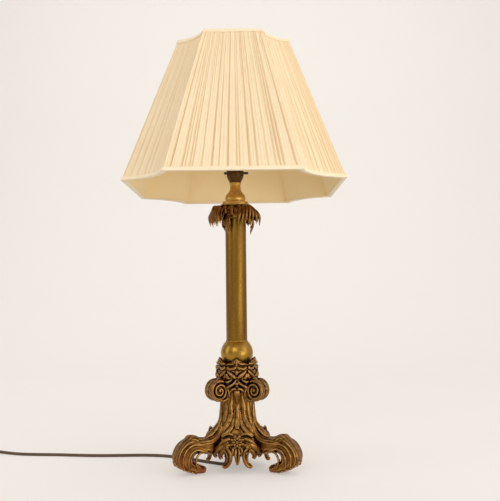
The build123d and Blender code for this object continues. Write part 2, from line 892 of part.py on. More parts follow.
def shade_section(height, inset):
    """The shade's smooth outline at a height: four flats and four scooped corners."""
    half, flat, centre, radius = shade_plan(height, inset)
    middle = centre - radius * sqrt(0.5)
    with BuildSketch(Plane.XY.offset(height)) as section:
        with BuildLine():
            for quarter in range(4):
                left, right, scoop, onward = (
                    quarter_turned(x, y, quarter)
                    for x, y in ((-flat, -half), (flat, -half), (middle, -middle), (half, -flat))
                )
                Line(left, right)
                ThreePointArc(right, scoop, onward)
        make_face()
    return section.sketch


def pleated_points(height, inset):
    """The pleated outline: points along the flats and scoops, every second one sunk."""
    points = []
    for quarter in range(4):
        for i in range(2 * pleats_per_flat):
            half, flat, _, _ = shade_plan(height, inset + (i % 2) * pleat_depth)
            along = -flat + 2 * flat * i / (2 * pleats_per_flat)
            points.append(quarter_turned(along, -half, quarter))
        for i in range(2 * pleats_per_scoop):
            half, flat, centre, radius = shade_plan(height, inset + (i % 2) * pleat_depth)
            swing = pi / 4 - asin((centre - half) / radius)
            angle = 3 * pi / 4 + swing * (1 - i / pleats_per_scoop)
            x = centre + radius * cos(angle)
            y = -centre + radius * sin(angle)
            points.append(quarter_turned(x, y, quarter))
    return points


def pleated_section(height, inset):
    """The cover's pleated face at a height."""
    with BuildSketch(Plane.XY.offset(height)) as section:
        with BuildLine():
            Polyline(*pleated_points(height, inset), close=True)
        make_face()
    return section.sketch


def shade_block(low, high, inset):
    """A solid that fills the shade's outline between two heights."""
    with BuildPart() as block:
        add(shade_section(low, inset))
        add(shade_section(high, inset))
        loft(ruled=True)
    return block


def shade_shell(low, high, outer, inner):
    """A shell of the shade's form between two insets."""
    hollow = shade_block(low, high, inner)
    with BuildPart() as shell:
        add(shade_section(low, outer))
        add(shade_section(high, outer))
        loft(ruled=True)
        add(hollow.part, mode=Mode.SUBTRACT)
    return shell


def shade_cover():
    """The pleated cloth, stretched over the frame."""
    hollow = shade_block(cloth_low, cloth_high, cover_inner)
    with BuildPart() as piece:
        add(pleated_section(cloth_low, cover_inset))
        add(pleated_section(cloth_high, cover_inset))
        loft(ruled=True)
        add(hollow.part, mode=Mode.SUBTRACT)
    return piece


def arm_ends(quarter):
    """Where one arm leaves the top ring and where it reaches the centre ring."""
    half, _, _, _ = shade_plan(ring_high, wire_inset)
    outer = (*quarter_turned(0, -half, quarter), ring_high)
    reach = duplex_outer - wire_radius
    inner = (*quarter_turned(0, -reach, quarter), duplex_low + duplex_thickness / 2)
    return outer, inner


def wire_between(start, end, radius):
    """A straight wire."""
    path = Vector(*end) - Vector(*start)
    with BuildSketch(Plane(origin=start, z_dir=path)) as section:
        Circle(radius)
    extrude(section.sketch, amount=path.length)


def arm_channels():
    """Clear channels round the four arms, where cloth and tape are cut away for them."""
    with BuildPart() as channels:
        for quarter in range(4):
            wire_between(*arm_ends(quarter), wire_radius + fit_gap)
    return channels


def shade_lining():
    """The smooth inner cloth, cut away at the arms."""
    channels = arm_channels()
    shell = shade_shell(cloth_low, cloth_high, lining_inset, lining_inner)
    with BuildPart() as piece:
        add(shell.part)
        add(channels.part, mode=Mode.SUBTRACT)
    return piece


def shade_trim(low, high, channel_low, channel_high):
    """A bound edge: a tape folded over the cloth, the frame wire and the lining."""
    void = shade_block(low, high, trim_inner + trim_thickness)
    channel = shade_shell(channel_low, channel_high, trim_thickness, trim_inner)
    channels = arm_channels()
    with BuildPart() as piece:
        add(shade_section(low, 0))
        add(shade_section(high, 0))
        loft(ruled=True)
        for cut in (void, channel, channels):
            add(cut.part, mode=Mode.SUBTRACT)
    return piece


def wire_ring(height):
    """One ring of the frame, with its flats, its scooped corners and its weld beads."""
    half, flat, centre, radius = shade_plan(height, wire_inset)
    middle = centre - radius * sqrt(0.5)
    for quarter in range(4):
        left, right, scoop, onward = (
            (*quarter_turned(x, y, quarter), height)
            for x, y in ((-flat, -half), (flat, -half), (middle, -middle), (half, -flat))
        )
        wire_between(left, right, wire_radius)
        with BuildLine() as path:
            ThreePointArc(right, scoop, onward)
        with BuildSketch(Plane(origin=right, z_dir=path.line % 0)) as section:
            Circle(wire_radius)
        sweep(section.sketch, path=path.line)
        with Locations(left, right):
            Sphere(weld_radius)


def shade_frame():
    """Two rings, eight struts, and a centre ring on four arms."""
    low_half, low_flat, _, _ = shade_plan(ring_low, wire_inset)
    high_half, high_flat, _, _ = shade_plan(ring_high, wire_inset)
    with BuildPart() as piece:
        wire_ring(ring_low)
        wire_ring(ring_high)
        for quarter in range(4):
            for side in (-1, 1):
                start = (*quarter_turned(side * low_flat, -low_half, quarter), ring_low)
                end = (*quarter_turned(side * high_flat, -high_half, quarter), ring_high)
                wire_between(start, end, wire_radius)
            wire_between(*arm_ends(quarter), arm_radius)
        with BuildSketch(Plane.XY.offset(duplex_low)):
            Circle(duplex_outer)
            Circle(duplex_inner, mode=Mode.SUBTRACT)
        extrude(amount=duplex_thickness)
        with BuildSketch(Plane.XY.offset(duplex_low)):
            Circle(2 * duplex_outer)
        extrude(amount=-2 * wire_radius, mode=Mode.SUBTRACT)
    return piece


# ---- mains lead --------------------------------------------------------------------------
def cord_path(route):
    """A route's tangent path: each corner's arc is as large as its two runs allow."""
    points = [Vector(*point) for point in route]
    radii = []
    for before, corner, after in zip(points, points[1:], points[2:]):
        first, second = corner - before, after - corner
        turn = radians(first.get_angle(second))
        radii.append(0.45 * min(first.length, second.length) / tan(turn / 2))
    return FilletPolyline(*points, radius=radii), radii


def cord_tube(route, radius, report):
    """A tube along a route; it prints its radii and compares its volume."""
    with BuildPart() as tube:
        with BuildLine():
            path, radii = cord_path(route)
        with BuildSketch(Plane(origin=path @ 0, z_dir=path % 0)):
            Circle(radius)
        sweep(path=path)
    length = path.length
    print(report, "length", round(length, 1), "radii", [round(r, 1) for r in radii])
    ratio = tube.part.volume / (pi * radius**2 * length)
    print(report, "volume over section times length", round(ratio, 5))
    return tube, length


def coil_reaches():
    """Distance from the coil's centre at each half turn: in, one climb, and out again."""
    step = coil_pitch / 2
    inward = [coil_outer - step * k for k in range(layer_half_turns + 1)]
    count = coil_half_turns - layer_half_turns
    outward = [inward[-1] + coil_climb_room + step * k for k in range(1, count)]
    return inward + [inward[-1] - step] + outward


def coil_path():
    """The wound lead: a straight start, half turns in two layers and a straight tail."""
    reaches = coil_reaches()
    low, high = coil_start[2], coil_start[2] + coil_layer_step
    places = []
    for k, reach in enumerate(reaches):
        side = 1 if k % 2 == 0 else -1
        height = low if k <= layer_half_turns else high
        places.append((coil_centre_x, coil_centre_y + side * reach, height))
    edges = [Line(coil_start, places[0])]
    for k, (start, end) in enumerate(zip(places, places[1:])):
        across = (Vector(*start) - Vector(*end)).length / 2
        bulge = -across if k % 2 == 0 else across
        middle = (coil_centre_x + bulge, (start[1] + end[1]) / 2, (start[2] + end[2]) / 2)
        edges.append(ThreePointArc(start, middle, end))
    last = places[-1]
    edges.append(Line(last, (last[0] - tail_length, last[1], last[2])))
    return edges


def least_gap(edges):
    """The least clear gap between stretches of the coil that lie over a few diameters apart."""
    samples = []
    travelled = 0.0
    for edge in edges:
        count = ceil(edge.length / 2.0)
        samples += [(travelled + edge.length * i / count, edge @ (i / count)) for i in range(count)]
        travelled += edge.length
    apart = 8 * cord_radius
    return min((p - q).length for i, (s, p) in enumerate(samples)
               for t, q in samples[i + 1:] if t - s > apart) - 2 * cord_radius


def cord_coil():
    """The put-away length of the lead, wound in two layers."""
    with BuildPart() as coil:
        with BuildLine() as line:
            edges = coil_path()
        with BuildSketch(Plane(origin=coil_start, z_dir=(-1, 0, 0))):
            Circle(cord_radius)
        sweep(path=line.line)
    length = sum(edge.length for edge in edges)
    print("coil length", round(length, 1), "least gap to itself", round(least_gap(edges), 2))
    print("coil volume over section times length",
          round(coil.part.volume / (pi * cord_radius**2 * length), 5))
    return coil, length


def cord_bush():
    """The tapered strain relief in the base plate, pointing down."""
    bore = cord_radius + slide_gap
    x, y = bush_place
    with BuildPart() as piece:
        with BuildSketch(Plane.XY.offset(pedestal_rim)):
            with Locations((x, y)):
                Circle(bush_head_radius)
        extrude(amount=plate_thickness)
        with BuildSketch(Plane.XY.offset(plate_low)):
            with Locations((x, y)):
                Circle(bush_collar_radius)
        extrude(amount=plate_thickness)
        with BuildSketch(Plane.XY.offset(plate_low)):
            with Locations((x, y)):
                Circle(bush_collar_radius)
        with BuildSketch(Plane.XY.offset(bush_low)):
            with Locations((x, y)):
                Circle(bush_tip_radius)
        loft()
        with BuildSketch(Plane.XY.offset(bush_low)):
            with Locations((x, y)):
                Circle(bore)
        extrude(amount=pedestal_rim, mode=Mode.SUBTRACT)
    return piece


def base_plate():
    """The plate under the pedestal that carries the bush."""
    with BuildPart() as piece:
        with BuildSketch(Plane.XY.offset(plate_low)):
            add(rounded_triangle(0, plate_half))
            with Locations(bush_place):
                Circle(bush_collar_radius, mode=Mode.SUBTRACT)
            with PolarLocations(plate_screw_ring, len(corner_azimuths), start_angle=90):
                Circle(plate_screw_radius + fit_gap, mode=Mode.SUBTRACT)
        extrude(amount=plate_thickness)
    return piece


def plate_screws():
    """The three screws that hold the base plate to the lugs."""
    with BuildPart() as group:
        for azimuth in corner_azimuths.values():
            with BuildSketch(plate_screw_plane(azimuth, plate_low)):
                Circle(plate_screw_radius)
            extrude(amount=plate_thickness + plate_screw_depth - fit_gap)
            with BuildSketch(plate_screw_plane(azimuth, plate_low)):
                Circle(2 * plate_screw_radius)
            extrude(amount=-plate_screw_radius)
    return group


def coil_tie():
    """A flat band closed round the coil's turns, on the side away from the tail."""
    reaches = coil_reaches()
    inner_reach = min(reaches) - cord_radius - tie_play
    outer_reach = reaches[1] + cord_radius + fit_gap
    top = coil_start[2] + coil_layer_step + cord_radius + fit_gap
    low = coil_start[2] - cord_radius - fit_gap
    middle_y = coil_centre_y - (inner_reach + outer_reach) / 2
    width = outer_reach - inner_reach
    with BuildPart() as piece:
        with BuildSketch(Plane.YZ.offset(coil_centre_x - tie_width / 2)):
            with Locations((middle_y, (low + top) / 2)):
                Rectangle(width + 2 * tie_thickness, top - low + 2 * tie_thickness)
                Rectangle(width, top - low, mode=Mode.SUBTRACT)
        extrude(amount=tie_width)
    return piece


def plug_body():
    """A three-pin plug's body, lying on its back with its pins up."""
    y = coil_centre_y + coil_reaches()[-1]
    with BuildPart() as piece:
        with BuildSketch(Plane.XY):
            with Locations((plug_entry - plug_size / 2, y)):
                RectangleRounded(plug_size, plug_size, plug_corner)
        extrude(amount=plug_height)
        chamfer(piece.faces().sort_by(Axis.Z)[-1].edges(), plug_bevel)
    return piece


def plug_pins():
    """Two flat power pins and one longer earth pin, standing on the plug's face."""
    y = coil_centre_y + coil_reaches()[-1]
    near = plug_entry - plug_pin_inset
    with BuildPart() as group:
        for side in (-1, 1):
            with BuildSketch(Plane.XY.offset(plug_height)):
                with Locations((near, y + side * plug_pin_pitch / 2)):
                    Rectangle(*live_pin[:2])
            extrude(amount=live_pin[2])
        with BuildSketch(Plane.XY.offset(plug_height)):
            with Locations((near - plug_pin_pitch, y)):
                Rectangle(*earth_pin[:2])
        extrude(amount=earth_pin[2])
    return group


# ---- the pieces, from the floor up -------------------------------------------------------
save("pedestal_casting", pedestal_casting())
for place, azimuth in corner_azimuths.items():
    save(f"foot_{place}", foot(azimuth))
    save(f"volute_{place}", volute(azimuth))
save("foot_screws", screws(lug_inner, foot_screw_height, foot_screw_radius,
                           lug_reach - lug_inner + foot_screw_grip,
                           foot_screw_head_radius, foot_screw_head_height))
save("volute_screws", screws(volute_pad_inner, volute_screw_height, volute_screw_radius,
                             volute_pad_reach - volute_pad_inner + volute_screw_grip,
                             volute_screw_head_radius, volute_screw_head_height))
for place, azimuth in face_azimuths.items():
    save(f"apron_{place}", apron(azimuth))
save("rosettes", rosettes())
save("base_plate", base_plate())
save("plate_screws", plate_screws())
save("crown_collar", crown())
save("ball", ball())
save("column_foot_ring", turned([
    (rod_hole, foot_ring_low), (ball_high_radius, foot_ring_low), (ball_high_radius, tube_low),
    (spigot_radius, tube_low), (spigot_radius, tube_low + spigot_length),
    (rod_hole, tube_low + spigot_length)]))
save("column_tube", turned([
    (tube_inner, tube_low), (tube_radius, tube_low), (tube_radius, tube_high),
    (tube_inner, tube_high)]))
save("capital_collar", turned([
    (tube_sleeve, collar_low), (collar_radius - collar_bevel, collar_low),
    (collar_radius, collar_low + 2 * collar_bevel), (collar_radius, tube_high),
    (tube_sleeve, tube_high)]))
for place, azimuth in frond_azimuths.items():
    save(f"frond_{place}", frond(azimuth))
save("lower_leaves", lower_leaves())
save("capital_ring", turned([
    (rod_hole, tube_high - spigot_length), (spigot_radius, tube_high - spigot_length),
    (spigot_radius, tube_high), (collar_radius, tube_high), (collar_radius, flange_low),
    (rod_hole, flange_low)]))
save("gallery_flange", turned([
    (rod_hole, flange_low), (flange_radius - flange_bevel, flange_low),
    (flange_radius, flange_high - flange_bevel), (flange_radius - flange_bevel / 2, flange_high),
    (step_radius, flange_high), (step_radius, step_high), (rod_hole, step_high)]))
save("bell_cap", turned([
    (rod_hole, step_high), *[(radius, step_high + rise) for radius, rise in bell_profile],
    (rod_hole, bell_high)]))
save("neck", turned([
    (rod_thread, bell_high), (neck_radius, bell_high),
    (neck_waist, bell_high + neck_height / 2), (neck_waist, neck_high), (rod_thread, neck_high)]))
save("tie_rod", turned([
    (rod_bore, rod_low), (rod_radius, rod_low), (rod_radius, rod_high), (rod_bore, rod_high)]))
save("tie_washer", turned([
    (rod_hole, web_low - washer_thickness), (washer_radius, web_low - washer_thickness),
    (washer_radius, web_low), (rod_hole, web_low)]))
save("tie_nut", tie_nut())
save("lampholder_body", holder_body())
save("lampholder_insulator", insulator())
save("lampholder_barrel", barrel())
for place, side in {"front": -1, "rear": 1}.items():
    save(f"plunger_{place}", plunger(side))
    save(f"plunger_spring_{place}", plunger_spring(side))
save("push_bar", push_bar())
save("bulb_cap", bulb_cap())
save("bulb_glass", bulb_glass())
stem_foot_radius = bulb_neck_radius - bulb_wall - fit_gap
save("bulb_stem", turned([
    (0, stem_low), (stem_foot_radius, stem_low), (stem_foot_radius, stem_low + stem_foot),
    (stem_radius, stem_low + 3 * stem_foot), (stem_radius, stem_low + stem_height),
    (0, stem_low + stem_height)]))
save("shade_carrier", shade_carrier())
save("clamp_ring", clamp_ring())
save("shade_frame", shade_frame())
save("shade_cover", shade_cover())
save("shade_lining", shade_lining())
save("shade_trim_bottom", shade_trim(shade_low, shade_low + trim_height,
                                     shade_low + trim_thickness, shade_low + trim_height))
save("shade_trim_top", shade_trim(shade_high - trim_height, shade_high,
                                  shade_high - trim_height, shade_high - trim_thickness))

save("cord_bush", cord_bush())
inner_route = [(0, 0, rod_high + flex_above_rod), (0, 0, flex_upper_bend),
               (*bush_place, flex_lower_bend), (*bush_place, bush_low)]
inner_flex, _ = cord_tube(inner_route, cord_radius, "inner flex")
save("inner_flex", inner_flex)
cord_run, run_length = cord_tube(cord_route, cord_radius, "cord run")
save("cord_run", cord_run)
wound, wound_length = cord_coil()
save("cord_coil", wound)
print("lead from the bush to the plug", round(run_length + wound_length, 1))
save("cord_tie", coil_tie())
save("plug_body", plug_body())
save("plug_pins", plug_pins())
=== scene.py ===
import json
from math import asin, cos, pi, radians, sin, sqrt

import bmesh
import bpy
import numpy as np
from mathutils import Matrix, Vector


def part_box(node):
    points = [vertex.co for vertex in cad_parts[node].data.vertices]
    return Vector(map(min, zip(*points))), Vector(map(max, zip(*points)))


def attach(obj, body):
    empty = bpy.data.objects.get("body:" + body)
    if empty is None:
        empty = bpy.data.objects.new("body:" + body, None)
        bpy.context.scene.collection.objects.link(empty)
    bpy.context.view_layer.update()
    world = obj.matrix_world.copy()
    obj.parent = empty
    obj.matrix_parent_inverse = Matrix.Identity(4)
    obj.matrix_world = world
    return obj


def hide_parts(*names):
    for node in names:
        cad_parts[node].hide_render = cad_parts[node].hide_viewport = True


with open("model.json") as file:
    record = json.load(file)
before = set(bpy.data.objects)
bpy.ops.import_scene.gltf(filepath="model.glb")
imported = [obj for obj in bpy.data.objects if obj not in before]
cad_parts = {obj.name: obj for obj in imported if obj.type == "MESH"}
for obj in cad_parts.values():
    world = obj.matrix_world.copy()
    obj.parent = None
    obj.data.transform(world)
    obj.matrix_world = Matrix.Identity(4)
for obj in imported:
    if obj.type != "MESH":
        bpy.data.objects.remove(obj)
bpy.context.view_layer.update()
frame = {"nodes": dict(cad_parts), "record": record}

# A column table lamp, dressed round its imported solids. Lengths are in millimetres and azimuths in
# degrees until a mesh is made, when MM turns lengths into metres, except where a comment says otherwise.
MM = 0.001
ON_AXIS = 0.01  # a radius below this counts as none
rng = np.random.default_rng(7)
scene = bpy.context.scene
scene.view_settings.view_transform = "Standard"
CORNERS = {"right": -30.0, "rear": 90.0, "left": 210.0}
FACES = {"front": -90.0, "rear_right": 30.0, "rear_left": 150.0}
RISE = 6.5  # what the column and all above it gain over the heights that their profiles give


# ---- camera and cord ---------------------------------------------------------------------
CAMERA_PLACE = (0.02745, -1.2946, 0.3230)  # metres
CAMERA_LENS, CAMERA_SENSOR, CAMERA_REACH = 47.87, 36.0, 50.0
CAMERA_TILT = 3.96  # degrees above level
CAMERA_ROLL = -0.0115  # radians


def link(name, data):
    """Puts new data into the scene as an object."""
    obj = bpy.data.objects.new(name, data)
    scene.collection.objects.link(obj)
    return obj


def add_camera():
    """The photograph's camera: low, a little right of the lamp, tilted up."""
    data = bpy.data.cameras.new("camera")
    data.lens, data.sensor_width, data.clip_end = CAMERA_LENS, CAMERA_SENSOR, CAMERA_REACH
    camera = link("camera", data)
    turn = Matrix.Rotation(radians(90 + CAMERA_TILT), 4, "X") @ Matrix.Rotation(CAMERA_ROLL, 4, "Z")
    camera.matrix_world = Matrix.Translation(CAMERA_PLACE) @ turn
    scene.camera = camera


CORD_ROUTE = [
    (-22.0, 3.0, 18.0), (-22.0, 3.0, 9.5), (-27.0, 6.0, 3.1), (-43.0, 16.5, 3.1),
    (-70.0, 34.0, 3.1), (-103.0, 57.0, 3.1), (-136.0, 76.0, 3.1), (-166.0, 86.0, 3.1),
    (-204.0, 90.0, 3.1), (-244.0, 89.0, 3.1), (-284.0, 89.5, 3.1), (-326.0, 94.0, 3.1),
    (-369.0, 101.5, 3.1), (-411.0, 105.0, 3.1), (-455.0, 111.0, 3.1), (-494.0, 128.0, 3.1),
    (-523.0, 141.0, 4.2), (-540.0, 141.4, 4.2),
]
CORD_RADIUS = 3.0
COIL_CENTRE = (-560.0, 97.5)
COIL_OUTER, COIL_PITCH, COIL_CLIMB = 43.5, 7.0, 1.0
COIL_LOW, COIL_HIGH = 4.2, 10.9
LAYER_HALF_TURNS, HALF_TURNS, POINTS_PER_HALF = 6, 12, 8
TAIL = (8.0, 20.0, 34.0, 48.0)  # control points past the coil, out to the plug


def coil_reaches():
    """Distance from the coil's centre at each half turn: in, one climb, and out again."""
    step = COIL_PITCH / 2
    inward = [COIL_OUTER - step * k for k in range(LAYER_HALF_TURNS + 1)]
    outward = [inward[-1] + COIL_CLIMB + step * k for k in range(1, HALF_TURNS - LAYER_HALF_TURNS)]
    return inward + [inward[-1] - step] + outward


def coil_points():
    """Control points of the wound lead, set a little outside the turns that the spline makes."""
    reaches = coil_reaches()
    outside = 1 / cos(pi / POINTS_PER_HALF / 2)
    points = []
    for k in range(HALF_TURNS):
        side = 1 if k % 2 == 0 else -1
        radius = (reaches[k] + reaches[k + 1]) / 2
        middle = COIL_CENTRE[1] + side * (reaches[k] - reaches[k + 1]) / 2
        for i in range(POINTS_PER_HALF):
            share = (i + 0.5) / POINTS_PER_HALF
            angle = side * pi / 2 + pi * share
            climb = share if k == LAYER_HALF_TURNS else float(k > LAYER_HALF_TURNS)
            points.append((COIL_CENTRE[0] + radius * outside * cos(angle),
                           middle + radius * outside * sin(angle),
                           COIL_LOW + (COIL_HIGH - COIL_LOW) * climb))
    end_y = COIL_CENTRE[1] + reaches[-1]
    for back in TAIL:
        points.append((COIL_CENTRE[0] - back, end_y, COIL_HIGH))
    return points


def nurbs_tube(name, points, radius):
    """A round tube along one smooth spline with these control points."""
    curve = bpy.data.curves.new(name, "CURVE")
    curve.dimensions = "3D"
    spline = curve.splines.new("NURBS")
    spline.points.add(len(points) - 1)
    for place, point in zip(spline.points, points):
        place.co = (*[value * MM for value in point], 1.0)
    spline.order_u = 3
    spline.use_endpoint_u = True
    spline.resolution_u = 10
    curve.bevel_depth = radius * MM
    curve.bevel_resolution = 5
    curve.use_fill_caps = True
    return link(name, curve)


# ---- mesh helpers ------------------------------------------------------------------------
def mesh_object(name, verts, faces, sharp=None):
    """An object from millimetre corners and faces, smooth, with edges kept sharp above an angle."""
    mesh = bpy.data.meshes.new(name)
    mesh.from_pydata((np.asarray(verts, float) * MM).tolist(), [], [list(f) for f in faces])
    mesh.validate()
    mesh.shade_smooth()
    if sharp:
        mesh.set_sharp_from_angle(angle=radians(sharp))
    return link(name, mesh)


def smooth_path(points, count):
    """Catmull-Rom samples through rows of numbers, spaced evenly between the rows."""
    rows = np.asarray(points, float)
    padded = np.vstack([2 * rows[0] - rows[1], rows, 2 * rows[-1] - rows[-2]])
    places = np.linspace(0, len(rows) - 1, count)
    index = np.minimum(places.astype(int), len(rows) - 2)
    t = (places - index)[:, None]
    a, b, c, d = (padded[index + k] for k in range(4))
    return 0.5 * (2 * b + (c - a) * t + (2 * a - 5 * b + 4 * c - d) * t**2
                  + (3 * b - a - 3 * c + d) * t**3)


def grid_faces(rows, columns, closed=True):
    """Quads between rows of corners, closed round, with fans at both ends if closed."""
    faces = []
    for i in range(rows - 1):
        for j in range(columns if closed else columns - 1):
            k = (j + 1) % columns
            faces.append((i * columns + j, i * columns + k, (i + 1) * columns + k, (i + 1) * columns + j))
    if closed:
        faces.append(tuple(reversed(range(columns))))
        faces.append(tuple((rows - 1) * columns + j for j in range(columns)))
    return faces


def wrapped_faces(rows, columns):
    """Quads between rows of corners, closed round and from the last row to the first."""
    faces = []
    for i in range(rows):
        j = (i + 1) % rows
        for k in range(columns):
            m = (k + 1) % columns
            faces.append((i * columns + k, i * columns + m, j * columns + m, j * columns + k))
    return faces


def ring_points(radius, angles, height):
    """Corners round the lamp's axis; the radius and the height are one number or one for each."""
    radius, height = (np.broadcast_to(value, angles.shape) for value in (radius, height))
    return np.stack([radius * np.cos(angles), radius * np.sin(angles), height], axis=-1)


def curl(points, side=(0.0, 1.0, 0.0), wide=1.0, count=None, sides=12):
    """A closed curl along (x, y, z, radius) rows; its section is wide times its radius along side."""
    count = count or 7 * len(points)
    rows = smooth_path(points, count)
    path, radii = rows[:, :3], np.maximum(rows[:, 3], 0.25)
    tangent = np.gradient(path, axis=0)
    tangent /= np.linalg.norm(tangent, axis=1)[:, None] + 1e-9
    side = np.asarray(side, float)
    across = side - tangent * (tangent @ side)[:, None]
    across /= np.linalg.norm(across, axis=1)[:, None] + 1e-9
    other = np.cross(tangent, across)
    angles = np.linspace(0, 2 * pi, sides, endpoint=False)
    verts = (path[:, None] + radii[:, None, None] * (wide * np.cos(angles)[None, :, None] * across[:, None]
             + np.sin(angles)[None, :, None] * other[:, None])).reshape(-1, 3)
    return verts, grid_faces(count, sides)


def blob(centre, sizes, turn=0.0, rows=9, sides=14):
    """An ellipsoid, its sizes along x, y, z, turned in its own x-z plane by an angle in degrees."""
    lat = np.linspace(-pi / 2 + 0.12, pi / 2 - 0.12, rows)
    lon = np.linspace(0, 2 * pi, sides, endpoint=False)
    x = np.outer(np.cos(lat), np.cos(lon)) * sizes[0]
    y = np.outer(np.cos(lat), np.sin(lon)) * sizes[1]
    z = np.outer(np.sin(lat), np.ones(sides)) * sizes[2]
    a = radians(turn)
    verts = np.stack([x * cos(a) - z * sin(a), y, x * sin(a) + z * cos(a)], axis=-1)
    return verts.reshape(-1, 3) + np.asarray(centre, float), grid_faces(rows, sides)


def mirrored(shell):
    """A shell's mirror image in y."""
    verts = shell[0].copy()
    verts[:, 1] *= -1
    return verts, [tuple(reversed(face)) for face in shell[1]]


def both(shells):
    """The shells and their mirror images."""
    return shells + [mirrored(shell) for shell in shells]


def turned_shell(shell, azimuth):
    """A shell turned about the lamp's axis."""
    a = radians(azimuth)
    x, y, z = shell[0].T
    return np.stack([x * cos(a) - y * sin(a), x * sin(a) + y * cos(a), z], axis=-1), shell[1]


def round_lamp(shells, azimuths):
    """Copies of the shells at each azimuth about the lamp's axis."""
    return [turned_shell(shell, azimuth) for azimuth in azimuths for shell in shells]


def raised(shells):
    """Shells moved up by what the column gains."""
    return [(verts + [0.0, 0.0, RISE], faces) for verts, faces in shells]


def applied(obj):
    """The object's mesh with its modifiers applied."""
    graph = bpy.context.evaluated_depsgraph_get()
    mesh = bpy.data.meshes.new_from_object(obj.evaluated_get(graph))
    old = obj.data
    obj.modifiers.clear()
    obj.data = mesh
    bpy.data.meshes.remove(old)
    return obj


def fused(name, shells, voxel, rounds):
    """Shells melted into one cast surface."""
    verts, faces, start = [], [], 0
    for shell_verts, shell_faces in shells:
        verts.append(shell_verts)
        faces += [tuple(start + i for i in face) for face in shell_faces]
        start += len(shell_verts)
    obj = mesh_object(name, np.vstack(verts), faces)
    melt = obj.modifiers.new("melt", "REMESH")
    melt.mode = "VOXEL"
    melt.voxel_size = voxel * MM * 1.0
    melt.use_smooth_shade = True
    ease = obj.modifiers.new("ease", "SMOOTH")
    ease.factor = 0.5
    ease.iterations = rounds
    applied(obj)
    obj.data.shade_smooth()
    return obj


def lathe(name, profile, segments=96, sharp=40.0):
    """A solid of revolution about the lamp's axis, from (radius, height) corners, closed at the axis or
    between its first and last corner."""
    angles = np.linspace(0, 2 * pi, segments, endpoint=False)
    verts = np.vstack([ring_points(r, angles, z) for r, z in profile])
    faces = wrapped_faces(len(profile), segments)
    if max(profile[0][0], profile[-1][0]) < ON_AXIS:
        faces = faces[:-segments]
    obj = mesh_object(name, verts, faces)
    work = bmesh.new()
    work.from_mesh(obj.data)
    bmesh.ops.remove_doubles(work, verts=work.verts, dist=0.002 * MM)
    bmesh.ops.recalc_face_normals(work, faces=work.faces)
    work.to_mesh(obj.data)
    work.free()
    obj.data.shade_smooth()
    obj.data.set_sharp_from_angle(angle=radians(sharp))
    return obj


def rounded(corners, radius=0.6, steps=3):
    """A profile's corners with a small round at each, the first and last kept."""
    points = [corners[0]]
    for before, corner, after in zip(corners, corners[1:], corners[2:]):
        before, corner, after = (np.asarray(p, float) for p in (before, corner, after))
        back, on = before - corner, after - corner
        reach = min(radius, np.linalg.norm(back) / 2.2, np.linalg.norm(on) / 2.2)
        start = corner + back / np.linalg.norm(back) * reach
        end = corner + on / np.linalg.norm(on) * reach
        for i in range(steps + 1):
            t = i / steps
            points.append(tuple((1 - t) ** 2 * start + 2 * t * (1 - t) * corner + t**2 * end))
    points.append(corners[-1])
    return points


# ---- materials ---------------------------------------------------------------------------
WEAVE = 2600.0 / 9
RED_HEIGHT, RED_PATINA = 0.045, (0.30, 0.085, 0.022)  # metres above the floor, colour


def node_material(name):
    """A new node material and its shader."""
    material = bpy.data.materials.new(name)
    material.use_nodes = True
    nodes = material.node_tree.nodes
    nodes.clear()
    out = nodes.new("ShaderNodeOutputMaterial")
    shader = nodes.new("ShaderNodeBsdfPrincipled")
    material.node_tree.links.new(shader.outputs[0], out.inputs[0])
    return material, shader


def add_node(material, kind, values=None, **inputs):
    """A node with its settings and its inputs set or linked."""
    node = material.node_tree.nodes.new(kind)
    for key, value in (values or {}).items():
        setattr(node, key, value)
    for key, value in inputs.items():
        socket = node.inputs[int(key[1:])] if key[0] == "i" and key[1:].isdigit() else node.inputs[key]
        join(material, value, socket)
    return node


def join(material, value, socket):
    """Links an output to a socket, or sets the socket to a value."""
    if isinstance(value, bpy.types.NodeSocket):
        material.node_tree.links.new(value, socket)
    else:
        socket.default_value = value


def ramp(material, factor, stops):
    """A colour ramp from (position, colour) stops."""
    node = add_node(material, "ShaderNodeValToRGB", Fac=factor)
    elements = node.color_ramp.elements
    elements[0].position, elements[0].color = stops[0][0], (*stops[0][1], 1.0)
    elements[1].position, elements[1].color = stops[-1][0], (*stops[-1][1], 1.0)
    for position, colour in stops[1:-1]:
        element = elements.new(position)
        element.color = (*colour, 1.0)
    return node.outputs[0]


def span(material, factor, low, high):
    """0 up to low and 1 from high on."""
    return ramp(material, factor, [(low, grey(0.0)), (high, grey(1.0))])


def grey(value):
    """A neutral colour."""
    return (value, value, value)


def mix(material, factor, a, b, blend="MIX"):
    """Two colours mixed."""
    node = material.node_tree.nodes.new("ShaderNodeMix")
    node.data_type = "RGBA"
    node.blend_type = blend
    for socket, value in ((node.inputs[0], factor), (node.inputs[6], a), (node.inputs[7], b)):
        if not isinstance(value, bpy.types.NodeSocket) and socket != node.inputs[0]:
            value = (*value, 1.0)
        join(material, value, socket)
    return node.outputs[2]


def maths(material, operation, a, b, clamp=False):
    """One arithmetic step."""
    node = add_node(material, "ShaderNodeMath", {"operation": operation, "use_clamp": clamp}, i0=a, i1=b)
    return node.outputs[0]


def times(material, a, b):
    """A product."""
    return maths(material, "MULTIPLY", a, b)


def roughen(material, shader, factor, low, high):
    """Roughness from low to high as the factor goes from 0 to 1."""
    join(material, ramp(material, factor, [(0.0, grey(low)), (1.0, grey(high))]), shader.inputs["Roughness"])


def noise(material, scale, detail=4.0, stretch=None):
    """Noise over the object's own coordinates, optionally stretched."""
    place = add_node(material, "ShaderNodeTexCoord").outputs["Object"]
    if stretch:
        place = add_node(material, "ShaderNodeMapping", Vector=place, Scale=stretch).outputs[0]
    return add_node(material, "ShaderNodeTexNoise", Vector=place, Scale=scale, Detail=detail,
                    Roughness=0.55).outputs[0]


